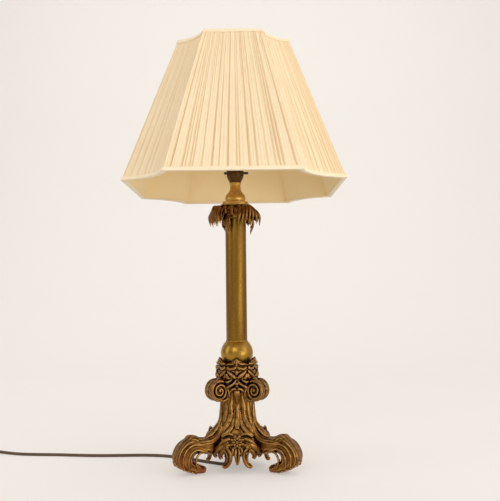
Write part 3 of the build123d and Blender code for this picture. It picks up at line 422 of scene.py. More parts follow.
def bump(material, shader, height, strength, distance):
    """A bump on the shader's normal."""
    node = add_node(material, "ShaderNodeBump", Height=height, Strength=strength, Distance=distance * MM)
    join(material, node.outputs[0], shader.inputs["Normal"])


def cast_brass(name, dark, middle, bright, rough, reach=6.0, red=0.0):
    """Old cast brass: dark in the hollows, rubbed bright on the ridges, mottled between, and where
    red is above 0 with reddish patches near the floor."""
    material, shader = node_material(name)
    open_sky = add_node(material, "ShaderNodeAmbientOcclusion", {"samples": 8}, Distance=reach * MM)
    surface = add_node(material, "ShaderNodeNewGeometry").outputs
    ridge = ramp(material, surface["Pointiness"], [(0.47, grey(0.0)), (0.50, grey(0.45)), (0.545, grey(1.0))])
    mottle = span(material, noise(material, 95.0, 5.0), 0.30, 0.70)
    hollow = span(material, open_sky.outputs["AO"], 0.25, 0.92)
    wear = maths(material, "ADD", times(material, times(material, ridge, hollow), 0.78),
                 times(material, times(material, mottle, hollow), 0.26), True)
    colour = ramp(material, wear, [(0.0, dark), (0.42, middle), (1.0, bright)])
    if red:
        height = add_node(material, "ShaderNodeSeparateXYZ", Vector=surface["Position"]).outputs[2]
        low = ramp(material, maths(material, "DIVIDE", height, RED_HEIGHT),
                   [(0.15, grey(1.0)), (1.0, grey(0.0))])
        patch = span(material, noise(material, 40.0, 3.0), 0.45, 0.62)
        colour = mix(material, times(material, times(material, low, patch), red), colour, RED_PATINA)
    join(material, colour, shader.inputs["Base Color"])
    shader.inputs["Metallic"].default_value = 1.0
    roughen(material, shader, mottle, rough - 0.06, rough + 0.12)
    bump(material, shader, noise(material, 420.0, 4.0), 0.35, 0.35)
    return material


def turned_brass(name, colour, tarnish, rough, streak=(1.0, 1.0, 0.12)):
    """Lacquered brass with slow tarnish, faint lengthwise wear and small marks."""
    material, shader = node_material(name)
    cloud = span(material, noise(material, 26.0, 5.0, streak), 0.35, 0.68)
    fine = span(material, noise(material, 260.0, 3.0), 0.35, 0.75)
    amount = maths(material, "ADD", times(material, cloud, 0.7), times(material, fine, 0.3), True)
    join(material, mix(material, amount, colour, tarnish), shader.inputs["Base Color"])
    shader.inputs["Metallic"].default_value = 0.95
    roughen(material, shader, amount, rough, rough + 0.14)
    bump(material, shader, noise(material, 500.0, 3.0), 0.12, 0.15)
    return material


def plain(name, colour, rough, metallic=0.0, scale=300.0, depth=0.1, vary=0.12):
    """A moulded, plated or painted surface with a fine grain and a slight unevenness."""
    material, shader = node_material(name)
    cloud = span(material, noise(material, 60.0, 4.0), 0.3, 0.7)
    darker = tuple(channel * (1 - vary) for channel in colour)
    join(material, mix(material, cloud, colour, darker), shader.inputs["Base Color"])
    shader.inputs["Metallic"].default_value = metallic
    roughen(material, shader, cloud, rough, min(1.0, rough + 0.1))
    bump(material, shader, noise(material, scale, 3.0), 0.2, depth)
    return material


def cloth(name, colour, shade, depth=0.12, slub=0.35, fold=None):
    """Fine woven cloth: threads both ways, slubs along them, slow unevenness, and, where fold gives a colour,
    painted shade that deepens the colour in the pleats' folds."""
    material, shader = node_material(name)
    threads = noise(material, WEAVE, 2.0, (1.0, 1.0, 0.06))
    cross = noise(material, WEAVE, 2.0, (0.1, 0.1, 1.0))
    amount = maths(material, "ADD", times(material, threads, slub),
                   times(material, noise(material, 14.0, 4.0), 0.6))
    base = mix(material, span(material, amount, 0.30, 0.72), colour, shade)
    if fold:
        # painted shade: the pleat depth stored on the cover darkens the cloth towards the fold colour
        deep = add_node(material, "ShaderNodeAttribute", {"attribute_name": "fold"}).outputs["Fac"]
        base = mix(material, span(material, deep, 0.12, 0.95), base, fold)
    join(material, base, shader.inputs["Base Color"])
    shader.inputs["Roughness"].default_value = 0.92
    shader.inputs["Sheen Weight"].default_value = 0.15
    shader.inputs["Specular IOR Level"].default_value = 0.2
    bump(material, shader, maths(material, "ADD", threads, cross), 0.3, depth)
    return material


def srgb(r, g, b):
    """An sRGB colour, 0 to 255, as the linear colour that shaders take."""
    return tuple(((v / 255 + 0.055) / 1.055) ** 2.4 if v > 10 else v / 255 / 12.92 for v in (r, g, b))


MATERIALS = {
    "antique_brass": cast_brass("antique_brass", srgb(24, 12, 4), srgb(108, 70, 26), srgb(196, 150, 86),
        0.27, red=0.9),
    "bronzed_leaf": cast_brass("bronzed_leaf", srgb(24, 11, 3), srgb(100, 62, 23), srgb(180, 132, 72), 0.32,
        5.0),
    "polished_brass": turned_brass("polished_brass", srgb(178, 136, 56), srgb(118, 84, 28), 0.27),
    # a darker copy of the polished brass for the column tube: painted shade for its dimmer reflections
    "tube_brass_painted_shade": turned_brass("tube_brass_painted_shade", srgb(146, 108, 38), srgb(92, 62, 18), 0.30,
        streak=(2.0, 2.0, 0.08)),
    # a lighter copy of the polished brass for the flange, bell and neck: painted light for their brighter
    # reflections
    "bell_brass_painted_light": turned_brass("bell_brass_painted_light", srgb(206, 166, 88), srgb(158, 118, 52), 0.30),
    "holder_brass": turned_brass("holder_brass", srgb(98, 68, 34), srgb(50, 32, 15), 0.34),
    "plated_steel": plain("plated_steel", (0.56, 0.55, 0.52), 0.32, 1.0),
    "contact_brass": turned_brass("contact_brass", (0.66, 0.48, 0.21), (0.5, 0.35, 0.14), 0.25),
    "insulator_ceramic": plain("insulator_ceramic", (0.72, 0.69, 0.62), 0.3),
    "push_bar_black": plain("push_bar_black", (0.012, 0.012, 0.012), 0.28),
    "bulb_opal": plain("bulb_opal", (0.86, 0.85, 0.82), 0.22, depth=0.02, vary=0.03),
    "bulb_stem_white": plain("bulb_stem_white", (0.75, 0.75, 0.72), 0.6),
    "frame_wire": plain("frame_wire", (0.74, 0.69, 0.58), 0.45),
    "pleated_cloth": cloth("pleated_cloth", srgb(250, 228, 190), srgb(243, 217, 176),
        # fold: the colour of the painted shade in the pleats' folds
        fold=srgb(231, 200, 154)),
    "lining_cloth": cloth("lining_cloth", srgb(255, 230, 178), srgb(252, 222, 166), slub=0.2),
    "trim_tape": cloth("trim_tape", srgb(252, 233, 198), srgb(246, 223, 184), depth=0.2),
    "bush_black": plain("bush_black", (0.02, 0.02, 0.02), 0.6),
    "flex_brown": plain("flex_brown", srgb(92, 70, 50), 0.5, scale=700.0, depth=0.2),
    # plate_dark: painted shade, put on the plate and screws under the base for the shade inside the hollow
    # base
    "plate_dark": plain("plate_dark", srgb(58, 40, 24), 0.45, 0.8),
    "tie_black": plain("tie_black", (0.02, 0.02, 0.02), 0.5),
    "plug_brown": plain("plug_brown", srgb(58, 40, 30), 0.33),
}
KEEPS = {entry["node"]: entry["material_slot"] for entry in frame["record"]["subparts"]}


def dress(obj, slot, body, *nodes, finish=None):
    """A finished piece: its material, its slot, the nodes that it stands for and its body."""
    obj.data.materials.clear()
    obj.data.materials.append(MATERIALS[finish or slot])
    if nodes:
        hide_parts(*nodes)
    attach(obj, body)
    return obj


def add_copies(kind, places, shells, voxel):
    """One casting at each place round the lamp, all from one mesh."""
    mesh = None
    for place, azimuth in places.items():
        name = f"{kind}_{place}_cast"
        obj = link(name, mesh) if mesh else fused(name, shells, voxel, 2)
        mesh = obj.data
        obj.rotation_euler = (0, 0, radians(azimuth))
        bpy.context.view_layer.update()
        dress(obj, "antique_brass", "base", f"{kind}_{place}")


# ---- feet --------------------------------------------------------------------------------
# pairs along the scroll from the pedestal to the toe: outer (out, up), inner (out, up), half width
FOOT_STATIONS = [
    (38, 92, 40, 40, 14), (48, 74, 50, 34, 16), (60, 65.5, 61, 30.5, 17.5), (72, 63, 70, 33.5, 18.5),
    (85, 62.5, 81, 36.5, 19), (95, 66, 88, 36.8, 19), (106, 65.5, 94, 34.5, 19), (117, 58, 96.5, 31.5, 19),
    (127, 46.5, 97, 28, 19), (132.3, 33.5, 96, 24.5, 19), (130, 21, 94, 21.8, 19), (119, 11.5, 91, 19.5,
        18.5),
    (107, 5.5, 87, 17.5, 18), (97, 2, 84, 15.5, 17), (86, 0.6, 79.5, 14.3, 16), (76, 0.3, 74, 13, 14),
    (71, 3, 70.5, 10.5, 9),
]
FLUTES = [0, 24, 50, 78, 106, 136, 162, 180]  # degrees round the section, from outer to inner
FLUTE_HIGH, FLUTE_LOW, FLUTE_WIDTH = 1.5, 0.9, 6.4
SECTION_POWER = 0.72  # 1 is an ellipse, less is squarer
RELIEF_SCALE, RELIEF_SHIFT = [0.8, 1.0, 1.0], [3.4, 0, 0]


def foot_body():
    """The foot's scroll, fluted lengthwise, as one closed shell."""
    rows = smooth_path(FOOT_STATIONS, 150)
    around = np.linspace(0, 360, 132, endpoint=False)
    verts = []
    for i, (ox, oz, ix, iz, half) in enumerate(rows):
        t = i / (len(rows) - 1)
        angle = np.radians(around)
        ca, sa = np.cos(angle), np.sin(angle)
        x = np.sign(ca) * np.abs(ca) ** SECTION_POWER
        y = np.sign(sa) * np.abs(sa) ** SECTION_POWER
        lift = np.zeros_like(around)
        folded = np.minimum(around, 360 - around)
        for k, flute in enumerate(FLUTES):
            middle = flute + 7.0 * sin(4.2 * t + 1.3 * k) * (0 < flute < 180)
            lift += (FLUTE_LOW if k % 2 else FLUTE_HIGH) * np.exp(-((folded - middle) / FLUTE_WIDTH) ** 2)
        lift *= min(1.0, 3.0 * t + 0.35) * min(1.0, (1 - t) * 7 + 0.15)
        reach = sqrt((ox - ix) ** 2 + (oz - iz) ** 2) / 2
        grow = (lift - FLUTE_LOW) / reach
        px = (ox + ix) / 2 + (ox - ix) / 2 * x * (1 + grow * np.abs(ca))
        pz = (oz + iz) / 2 + (oz - iz) / 2 * x * (1 + grow * np.abs(ca))
        py = half * y + np.sign(sa) * (lift - FLUTE_LOW) * np.abs(sa)
        verts.append(np.stack([px, py, np.maximum(pz, 0.15)], axis=-1))
    return np.vstack(verts), grid_faces(len(rows), len(around))


def foot_shells():
    """The scroll with its ribs, its curled leaf and its toe."""
    ribs = [
        [(86, 17, 41, 1.6), (97, 17.8, 42, 2.0), (113, 18.3, 46, 2.1), (127, 18.3, 41, 2.1),
         (134, 18.2, 30, 2.0), (134, 17.5, 17, 1.8), (129, 16.5, 10, 1.0)],
        [(80, 15.5, 37, 1.4), (92, 16.8, 40, 2.0), (106, 17.3, 39, 2.4), (114, 17.6, 32, 2.5),
         (116, 17.2, 23, 2.3), (111, 16.5, 13, 2.2), (103, 14.5, 7, 1.6)],
        [(92, 17, 51, 1.2), (108, 17.5, 54, 1.7), (124, 18.2, 55, 1.9), (139, 18.4, 48, 1.9),
         (147, 18, 35, 1.8), (147, 17, 21, 1.4), (142, 15.5, 15, 0.8)],
        [(98, 13.5, 58, 1.2), (116, 14.5, 61, 1.6), (132, 15, 59, 1.7), (147, 15, 50, 1.7),
         (156, 14.5, 36, 1.6), (155, 14, 24, 1.2), (149, 13, 17, 0.8)],
    ]
    shells = [curl(rows) for rows in ribs]
    shells.append(curl([(84, 9, 60.5, 1.5), (98, 9.5, 61.5, 2.6), (111, 9.5, 64.5, 3.4),
                        (120, 9, 66.3, 3.2), (127, 8, 64.5, 2.2), (131, 7, 60.5, 1.0)], wide=1.3))
    shells.append(curl([(104, 15, 57, 1.2), (111, 14, 62, 2.4), (118, 13, 64.6, 2.6),
                        (124, 13, 63, 1.8), (127, 13.5, 59.5, 0.9)]))
    shells.append(curl([(119, 15.5, 28, 1.0), (114, 17, 21, 1.8), (105, 16.5, 12.5, 2.6),
        (97, 14.5, 8.5, 3.0),
                        (92, 13, 10.5, 2.4), (93.5, 12.5, 13.5, 1.4)], wide=0.9))
    for out, across, up, size in ((153, 10, 17.5, 4.2), (144, 13, 13.0, 4.2), (134, 14, 9.6, 4.0),
                                  (124, 14, 6.6, 3.6), (114, 12.5, 3.9, 3.2), (158, 4.5, 23.5, 4.4)):
        shells.append(blob((out, across, up), (size, size * 0.9, size * 0.6), 24))
    shells = [(verts * RELIEF_SCALE + RELIEF_SHIFT, faces) for verts, faces in both(shells)]
    shells.append(curl([(72, 0, 62, 1.6), (82, 0, 62.5, 2.6), (92, 0, 66.5, 3.2), (101, 0, 68, 2.8),
                        (108, 0, 65.5, 1.6)], wide=1.5))
    shells.append(foot_body())
    return shells


# ---- pedestal ----------------------------------------------------------------------------
PEDESTAL = [(38.3, 46.5), (50, 45.8), (62, 45.6), (71, 44.0), (79, 39.6), (88, 35.2), (99, 33.0), (114, 32.4),
            (128, 32.6), (141, 33.2), (149, 32.6), (155, 31.5), (162, 31.0), (168.3, 31.5)]
# folds on one face: (share of the way to the corner, height, width)
FOLDS = [(0.0, 1.6, 0.14), (0.30, 0.8, 0.09), (0.55, 1.5, 0.12), (0.82, 1.0, 0.10)]
CORNER_SHARE = 0.55  # the plan's corner radius, as a share of its reach
# pierced-looking pockets under the crown on each face: (across, height, half width, half height)
POCKETS = [(9.5, 158.0, 5.4, 6.2), (0.0, 147.0, 6.0, 4.2), (0.0, 166.5, 6.5, 3.4)]
POCKET_DEPTH = 15.0
# the flat face that the relief is drawn on, before it is laid on the column: (height, distance)
DRAWN_FACE = [(38, 46.3), (58, 45.4), (66, 43.5), (74, 38.6), (84, 34.0), (95, 32.4), (122, 32.6),
              (142, 32.2),
              (148, 31.0), (162, 31.0)]


def plan_radius(azimuth, half):
    """Distance from the axis to the rounded triangle's edge at azimuths in degrees."""
    off = np.radians(np.abs((azimuth + 90.0) % 120.0 - 60.0))
    corner = CORNER_SHARE * half
    centre = (half - corner) / cos(pi / 6)
    bow = centre * np.cos(off) + np.sqrt(np.maximum(corner**2 - (centre * np.sin(off)) ** 2, 0))
    flat = (centre / 2 + corner) / np.cos(pi / 3 - off)
    return np.where(bow * np.sin(off) <= corner * sin(pi / 3), bow, flat)


def laid(shell):
    """A relief shell moved from the flat face that it is drawn on to the rounded column."""
    x, y, z = shell[0].T
    z = z + RISE
    half = np.interp(z, *zip(*PEDESTAL))
    corner = CORNER_SHARE * half
    centre = (half - corner) / cos(pi / 6)
    past = np.clip((np.abs(y) - centre * sin(pi / 3)) / corner, 0, 0.92)
    face = centre / 2 + corner * np.sqrt(1 - past**2)
    return np.stack([face + x - np.interp(z - RISE, *zip(*DRAWN_FACE)), y, z], axis=-1), shell[1]


def pedestal_body():
    """The waisted column, folded lengthwise like overlapping leaves."""
    rows = smooth_path(PEDESTAL, 110)
    angles = np.linspace(0, 2 * pi, 360, endpoint=False)
    off = np.abs((np.degrees(angles) + 90.0) % 120.0 - 60.0)
    verts = []
    for height, half in rows:
        radius = plan_radius(np.degrees(angles), half)
        across = radius * np.sin(np.radians(60 - off)) / half
        spread = 1.0 + 0.22 * np.clip((92 - height) / 40, 0, 1) ** 1.5
        lift = np.zeros_like(angles)
        for k, (place, amount, width) in enumerate(FOLDS):
            middle = place * spread + 0.03 * sin(height / 9.0 + 2.1 * k) * (place > 0)
            lift += amount * np.exp(-((across - middle) / width) ** 2)
        radius = radius + (lift - 1.2) * np.clip((height - 40) / 12, 0.1, 1) * np.clip((164 - height) / 10,
            0.1, 1)
        beside = radius * np.sin(np.radians(60 - off))
        for y, z, wide, high in POCKETS:
            near = ((beside - y) / wide) ** 2 + ((height - z) / high) ** 2
            radius = radius - POCKET_DEPTH * np.exp(-near**2)
        verts.append(ring_points(radius, angles, height))
    return np.vstack(verts), grid_faces(len(rows), len(angles))


def face_leaves():
    """Relief on one face, drawn with x outwards: leaf folds that sweep down to the feet, a curled
    leaf under the crown and crossed foliage between the volutes."""
    right = [
        curl([(31.6, 9, 130, 0.8), (32.2, 12, 112, 1.7), (32.8, 12, 96, 2.2), (34.3, 16, 84, 2.5),
              (37.9, 22, 74, 2.8), (41, 29, 66, 2.9), (39.5, 37, 61, 2.0)], wide=1.9),
        curl([(32.2, 20, 124, 0.8), (32.4, 21, 108, 1.6), (33, 24, 92, 2.0), (35, 28, 80, 2.3),
              (37, 34, 71, 2.4), (37.4, 40, 65, 1.7)], wide=1.8),
        curl([(32.6, 4.5, 104, 0.8), (33.6, 6, 88, 1.6), (37.4, 9, 78, 2.2), (42.4, 14, 70, 2.5),
              (45.5, 21, 63, 2.4), (45.5, 30, 57, 1.7)], wide=1.8),
        curl([(29.5, 27.5, 165, 2.0), (33.5, 25, 159, 3.0), (35.3, 19.5, 156.5, 3.2), (35.5, 13, 159, 2.8),
              (35.5, 8.5, 164, 2.4), (35.3, 6, 168.5, 1.6)], wide=0.9),
        curl([(30, 25, 141, 1.6), (34.5, 20, 146, 2.8), (35.8, 13, 149.5, 3.0), (35.8, 6.5, 153.5, 2.8),
              (35.4, 2.5, 158.5, 1.8), (35, 1.0, 163, 1.0)], wide=0.9),
        curl([(34.5, 13.5, 138, 1.4), (36, 9.5, 142, 2.4), (37, 5, 144, 2.6), (37.5, 1.5, 142.5, 2.0)],
             wide=1.0),
        curl([(34.2, 15, 128, 0.9), (35, 15, 136, 1.9), (35, 17.5, 143, 1.6), (34, 21, 147, 0.9)], wide=0.9),
        blob((35.5, 17, 165.5), (2.2, 3.4, 3.0)), blob((35.5, 11, 169.5), (2.0, 2.6, 2.6)),
    ]
    middle = [
        curl([(34, 0, 118, 1.0), (35.5, 0, 127, 2.8), (37.5, 0, 134, 3.8), (39.6, 0, 138.6, 3.4),
              (41, 0, 138, 2.4), (41.2, 0, 135, 1.5)], wide=1.8),
        curl([(32.2, 0, 112, 1.0), (33.0, 0, 98, 2.0), (34.6, 0, 86, 2.6), (39.3, 0, 77, 2.6),
              (44.5, 0, 71, 1.7)], wide=1.8),
        blob((36.3, 0, 153.5), (2.6, 3.6, 3.0)), blob((36.6, 0, 169.5), (2.2, 3.2, 2.6)),
    ]
    return both(right) + middle


def add_pedestal():
    """The pedestal casting with the relief of its three faces and three corners."""
    corner = curl([(35, 0, 120, 0.8), (35.2, 0, 105, 2.2), (36.5, 0, 94, 3.0), (41, 0, 84, 4.2),
                   (49, 0, 75, 5.0),
                   (59, 0, 66, 5.2), (69, 0, 61, 3.0)], wide=1.4)
    shells = [pedestal_body()]
    shells += round_lamp([laid(shell) for shell in face_leaves()], FACES.values())
    shells += round_lamp([corner], CORNERS.values())
    dress(fused("pedestal_cast", shells, 0.8, 2), "antique_brass", "base", "pedestal_casting")


# ---- volutes -----------------------------------------------------------------------------
VOLUTE_OUT, VOLUTE_UP = 57.0, 143.5
VOLUTE_SHIFT = [-13.0, 0.0, 3.5]  # from where it is drawn onto its corner of the pedestal
SPIRAL_TURNS, SPIRAL_ROWS, SPIRAL_START = 2.3, 46, 115


def eye_point(radius_out, radius_up, angle):
    """A point round the volute's eye: (out, up)."""
    return VOLUTE_OUT + radius_out * cos(angle), VOLUTE_UP + radius_up * sin(angle)


def volute_shells():
    """A scroll with a spiral ridge on both faces, a ribbed band over its edge and a tail."""
    spiral = []
    for i in range(SPIRAL_ROWS):
        t = i / (SPIRAL_ROWS - 1)
        radius = 16.4 * (1 - t) ** 0.95 + 1.6
        out, up = eye_point(radius, radius * 1.06, radians(SPIRAL_START) - 2 * pi * SPIRAL_TURNS * t)
        spiral.append((out, 11.8 + 2.2 * t, up, 2.1 * (1 - t) + 1.3))
    shells = [curl(spiral, wide=1.15, count=260, sides=10),
              blob((VOLUTE_OUT, 13.6, VOLUTE_UP), (2.6, 2.2, 2.6)),
              curl([(40, 9.5, 170, 2.0), (45, 10.5, 166, 3.0), (52, 11.5, 162.5, 3.4), (60, 12, 160, 3.0)])]
    for across, size in ((4.6, 2.0), (9.6, 2.3), (13.4, 1.7)):
        band = []
        for degrees in range(100, -120, -20):
            out, up = eye_point(17.2, 18.0, radians(degrees))
            band.append((out, across, up, size * (0.75 if abs(degrees) > 90 else 1.0)))
        shells.append(curl(band, wide=1.2, count=90, sides=10))
    for degrees in (62, 34, 8, -18, -46):
        out, up = eye_point(17.6, 18.2, radians(degrees))
        shells.append(blob((out, 7.2, up), (2.3, 4.2, 2.3)))
    shells.append(curl([(57, 13.0, 126, 2.2), (50, 13.5, 125, 2.6), (43, 13.5, 128, 2.2),
        (39, 13.5, 133, 1.2)]))
    shells = both(shells)
    web = [eye_point(15.4, 16.4, radians(degrees)) for degrees in range(0, 360, 15)]
    layers = [[(out, across, up) for out, up in web] for across in (-11.2, 11.2)]
    shells.append((np.vstack(layers), grid_faces(2, len(web))))
    shells.append(curl([(33, 0, 172, 5.0), (41, 0, 169, 6.0), (49, 0, 163, 6.0), (56, 0, 155, 6.0)],
        wide=1.6))
    shells.append(curl([(58, 0, 131, 5.0), (50, 0, 128, 6.0), (43, 0, 131, 6.0), (37, 0, 138, 5.0)],
        wide=1.5))
    shells.append(blob((75.5, 0, 147.5), (2.8, 3.4, 3.2)))
    return [(verts + VOLUTE_SHIFT, faces) for verts, faces in shells]


# ---- aprons and rosettes -----------------------------------------------------------------
PLATE_BACK, PLATE_FRONT = 49.2, 52.6
ROSETTE_UP = 58.0
# rows of petals: distance from the middle, sizes, distance from the axis, turn in petals
PETALS = ((9.4, (1.7, 2.6, 4.0), 56.6, 0.5), (6.2, (1.6, 2.0, 2.9), 57.8, 0.0))
PETAL_COUNT = 8


def apron_shells():
    """One face's apron, drawn with x outwards: C-scrolls, a folded leaf, drops and side leaves."""
    side = (1, 0, 0)
    right = [
        curl([(53, 25, 48, 1.6), (53.5, 18.5, 46.0, 2.8), (54, 13.4, 38.5, 3.5), (54, 12.2, 30, 3.7),
              (54, 14.2, 21.5, 3.6), (53.5, 18.8, 15.0, 3.5), (53, 24.0, 12.8, 3.1),
              (52.5, 27.0, 15.5, 2.4)], side, 1.3),
        curl([(50.5, 28, 44, 1.2), (51, 22.5, 40.5, 1.9), (51.5, 18.6, 33.5, 2.2), (51.5, 17.9, 25.5, 2.2),
              (51.5, 19.8, 19, 2.2), (51, 23.5, 16.5, 1.8)], side, 1.3),
        blob((55.5, 18.5, 48.5), (3.0, 3.4, 3.4)),
        curl([(51, 16, 58, 4.4), (49, 25, 52, 6.2), (45, 34, 45, 6.4), (40, 41, 38, 5.4), (38, 42, 32, 4.0),
              (40, 38.5, 28, 2.8)], side, 1.1),
        curl([(50, 18, 48, 3.4), (47, 25, 43, 5.4), (44, 30, 36, 5.6), (43, 31.5, 30, 4.4),
              (44, 29, 25, 3.2)], side, 1.1),
        curl([(54.8, 2.3, 46, 1.6), (55.5, 3.4, 37, 2.6), (56.2, 2.6, 27, 2.3), (56.6, 0.9, 16.5, 0.9)],
             side, 0.9),
        curl([(53, 10, 62, 1.6), (54.5, 16, 63, 3.0), (54, 23, 60, 3.2), (52, 30, 55, 2.4),
              (50, 35, 50, 1.2)], side, 0.9),
        curl([(53, 10, 54, 1.6), (54.5, 15, 52, 2.8), (53.5, 22, 50.5, 2.8), (51.5, 29, 47, 2.0),
              (50, 33, 43, 1.0)], side, 0.9),
        curl([(53, 7, 68, 1.5), (53.5, 12, 72, 2.4), (51, 19, 71, 2.6), (48.5, 27, 66, 1.8)], side, 0.9),
        curl([(53, 6, 50, 1.6), (55.5, 8, 44, 2.4), (56, 8.5, 38, 1.8), (55.5, 7.5, 33, 0.9)], side, 0.8),
    ]
    plan = [(24, 41), (22, 62), (12, 67), (-12, 67), (-22, 62), (-24, 41), (-8, 35), (0, 17), (8, 35)]
    plate = [(PLATE_BACK, across, up) for across, up in plan]
    plate += [(PLATE_FRONT, across * 0.94, up * 0.94 + 2.8) for across, up in plan]
    return both(right) + [(np.array(plate), grid_faces(2, len(plan)))]


def rosette_shells():
    """A flower drawn with x outwards: pointed petals in two rows, a ring and a bead."""
    shells = []
    for ring, size, out, turn in PETALS:
        for k in range(PETAL_COUNT):
            a = 2 * pi * (k + turn) / PETAL_COUNT
            petal, faces = blob((0, 0, ring), size)
            x, y, z = petal.T
            turned = np.stack([x + out, y * cos(a) - z * sin(a), y * sin(a) + z * cos(a) + ROSETTE_UP],
                axis=-1)
            shells.append((turned, faces))
    return shells + [blob((55.9, 0, ROSETTE_UP), (1.8, 8.4, 8.4)),
        blob((59.0, 0, ROSETTE_UP), (2.0, 3.0, 3.0))]


# ---- crown -------------------------------------------------------------------------------
CROWN_LOW, CROWN_THICK = 169.5, 3.0


def crown_wall():
    """The thin leafy wall: six points, over the faces and the corners, and low valleys between."""
    columns, rows = 288, 34
    angles = np.linspace(0, 2 * pi, columns, endpoint=False)
    off = np.abs((np.degrees(angles) + 120) % 60 - 30)
    low = CROWN_LOW
    top = 196.0 + 10.5 * (1 - off / 30) ** 1.3 + 1.2 * np.cos(np.radians(off * 36)) * (off > 5)
    verts = []
    levels = [(share, 0.0) for share in np.linspace(0, 1, rows)]
    levels += [(share, CROWN_THICK) for share in np.linspace(1, 0, rows)]
    for share, inset in levels:
        z = low + (top - low) * share
        rise = np.clip((z - 182) / 24, 0, 1)
        radius = 35.8 - 1.6 * np.sin(pi * np.clip((z - 172) / 14, 0, 1)) + 4.6 * (1 - off / 40) * rise**1.5
        rib = 0.8 * np.exp(-(off / 2.6) ** 2) + 0.7 * np.exp(-((off - 14) / 4.0) ** 2)
        edge = 1.2 * np.exp(-((z - top) / 2.0) ** 2)
        radius = radius - inset * (1 - 0.35 * share) + (rib * np.clip((z - 174) / 8, 0,
            1) + edge - 0.6) * (inset == 0.0)
        verts.append(ring_points(radius, angles, z))
    return np.vstack(verts), wrapped_faces(len(levels), columns)


def ring_curl(radius, height, size, sway):
    """A closed moulding round the lamp's axis, with six waves."""
    loop = []
    for degrees in range(0, 361, 5):
        a = radians(degrees)
        loop.append((radius * cos(a), radius * sin(a), height + sway * cos(6 * (a + pi / 2)), size))
    return curl(loop, (0, 0, 1), 0.8, 288, 10)


def add_crown():
    """The crown: wall, mouldings, foliage and the seat under the ball."""
    shells = [crown_wall(), ring_curl(35.4, 171.6, 2.6, 1.0), ring_curl(36.0, 184.5, 2.1, -2.2)]
    right = [
        curl([(36.6, 1, 192.5, 1.3), (37.6, 6, 189.0, 2.5), (36.8, 12, 188.5, 2.8), (35.0, 18, 191.5, 1.8)],
             wide=1.3),
        curl([(37.0, 2.5, 171, 1.8), (37.6, 7, 175, 3.0), (36.4, 12.5, 180, 2.8), (34.6, 17.5, 185, 1.5)],
             wide=1.2),
        curl([(36.2, 14, 170, 1.6), (35.6, 17.5, 174, 2.4), (34.8, 19, 179, 1.8)], wide=1.2),
        curl([(39.6, 0.5, 203.5, 1.0), (38.6, 5, 199, 1.8), (37.2, 10, 197.0, 2.0), (35.6, 16, 197.5, 1.6)]),
    ]
    relief = both(right) + [blob((37.4, 0, 181), (2.4, 3.4, 4.6)),
                            curl([(38.2, 0, 194, 1.6), (39.2, 0, 199, 1.8), (39.8, 0, 203, 1.2)])]
    shells += round_lamp(relief, np.arange(-90.0, 270.0, 60.0))
    around = np.linspace(0, 2 * pi, 64, endpoint=False)
    seat = [ring_points(r, around, z) for r,
            z in ((33.5, 168.9), (33.5, 174.5), (19.0, 178.5), (17.5, 186.0))]
    shells.append((np.vstack(seat), grid_faces(len(seat), len(around))))
    dress(fused("crown_cast", shells, 0.7, 1), "antique_brass", "base", "crown_collar")


# ---- turned pieces -----------------------------------------------------------------------
ROD_BORE, WIRE_BORE = 5.3, 5.1
BALL_CENTRE, BALL_RADIUS, BALL_LOW, BALL_HIGH = 208.4, 31.0, 180.0, 231.0
# piece, node, slot, finish, round at the corners, segments, (radius, height) corners
TURNED = [
    ("foot_ring_skin", "column_foot_ring", "polished_brass", None, 0.5, 96, [
        (18.0, 231), (21.0, 231), (21.3, 232.2), (20.6, 233.5), (18.0, 233.5)]),
    # the tube's finish is a darker copy of polished brass: painted shade
    ("column_tube_skin", "column_tube", "polished_brass", "tube_brass_painted_shade", 0.3, 144, [
        (18.7, 233.5), (20.2, 233.5), (20.2, 300), (20.2, 420), (20.2, 488), (18.7, 488)]),
    ("capital_collar_skin", "capital_collar", "bronzed_leaf", None, 1.0, 96, [
        (20.3, 468), (22.6, 468), (24.2, 470), (24.8, 474), (23.8, 478), (24.4, 483), (24.9, 488),
        (20.3, 488)]),
    ("capital_ring_skin", "capital_ring", "bronzed_leaf", None, 0.5, 96, [
        (ROD_BORE, 482), (18.6, 482), (18.6, 488), (24.9, 488), (23.6, 490), (24.4, 492.7),
        (ROD_BORE, 492.7)]),
    # the flange, bell and neck take a lighter copy of polished brass: painted light
    ("gallery_flange_skin", "gallery_flange", "polished_brass", "bell_brass_painted_light", 0.5, 96, [
        (ROD_BORE, 492.7), (28.6, 492.7), (29.8, 493.6), (30.0, 495.0), (29.2, 496.0), (25.9, 496.1),
        (25.4, 496.8), (25.6, 499.8), (24.9, 501), (ROD_BORE, 501)]),
    ("bell_cap_skin", "bell_cap", "polished_brass", "bell_brass_painted_light", 0.8, 96, [
        (ROD_BORE, 501), (20.0, 501), (20.1, 502.6), (19.2, 503.8), (19.7, 505.5), (19.8, 509), (19.2, 512),
        (17.7, 515), (15.4, 518), (13.0, 520.5), (11.7, 522.5), (11.0, 525), (10.6, 527), (10.5, 529),
        (ROD_BORE, 529)]),
    ("neck_skin", "neck", "polished_brass", "bell_brass_painted_light", 0.4, 96, [
        (WIRE_BORE, 529), (10.5, 529), (10.5, 530.4), (9.9, 531.4), (9.9, 535.0), (10.9, 535.9),
        (11.6, 537.2),
        (11.6, 538.4), (10.9, 539.6), (WIRE_BORE, 539.6)]),
    ("lampholder_skin", "lampholder_body", "holder_brass", None, 0.5, 96, [
        (WIRE_BORE, 539.6), (11.2, 539.6), (11.7, 540.4), (11.6, 542), (12.8, 543.0), (15.4, 549),
        (16.4, 552.4),
        (16.7, 554.2), (16.2, 554.8), (16.8, 555.6), (16.8, 565.0), (16.4, 566), (14.8, 566), (14.8, 549),
        (WIRE_BORE, 548.2)]),
]
BAR_HEIGHT = 558.4
BULB_RADIUS, BULB_CENTRE, BULB_LOW = 30, 655, 588.0


def spun(name, profile, *settings):
    """A turned piece of the column, raised to its place."""
    return lathe(name, [(r, z + RISE) for r, z in profile], *settings)


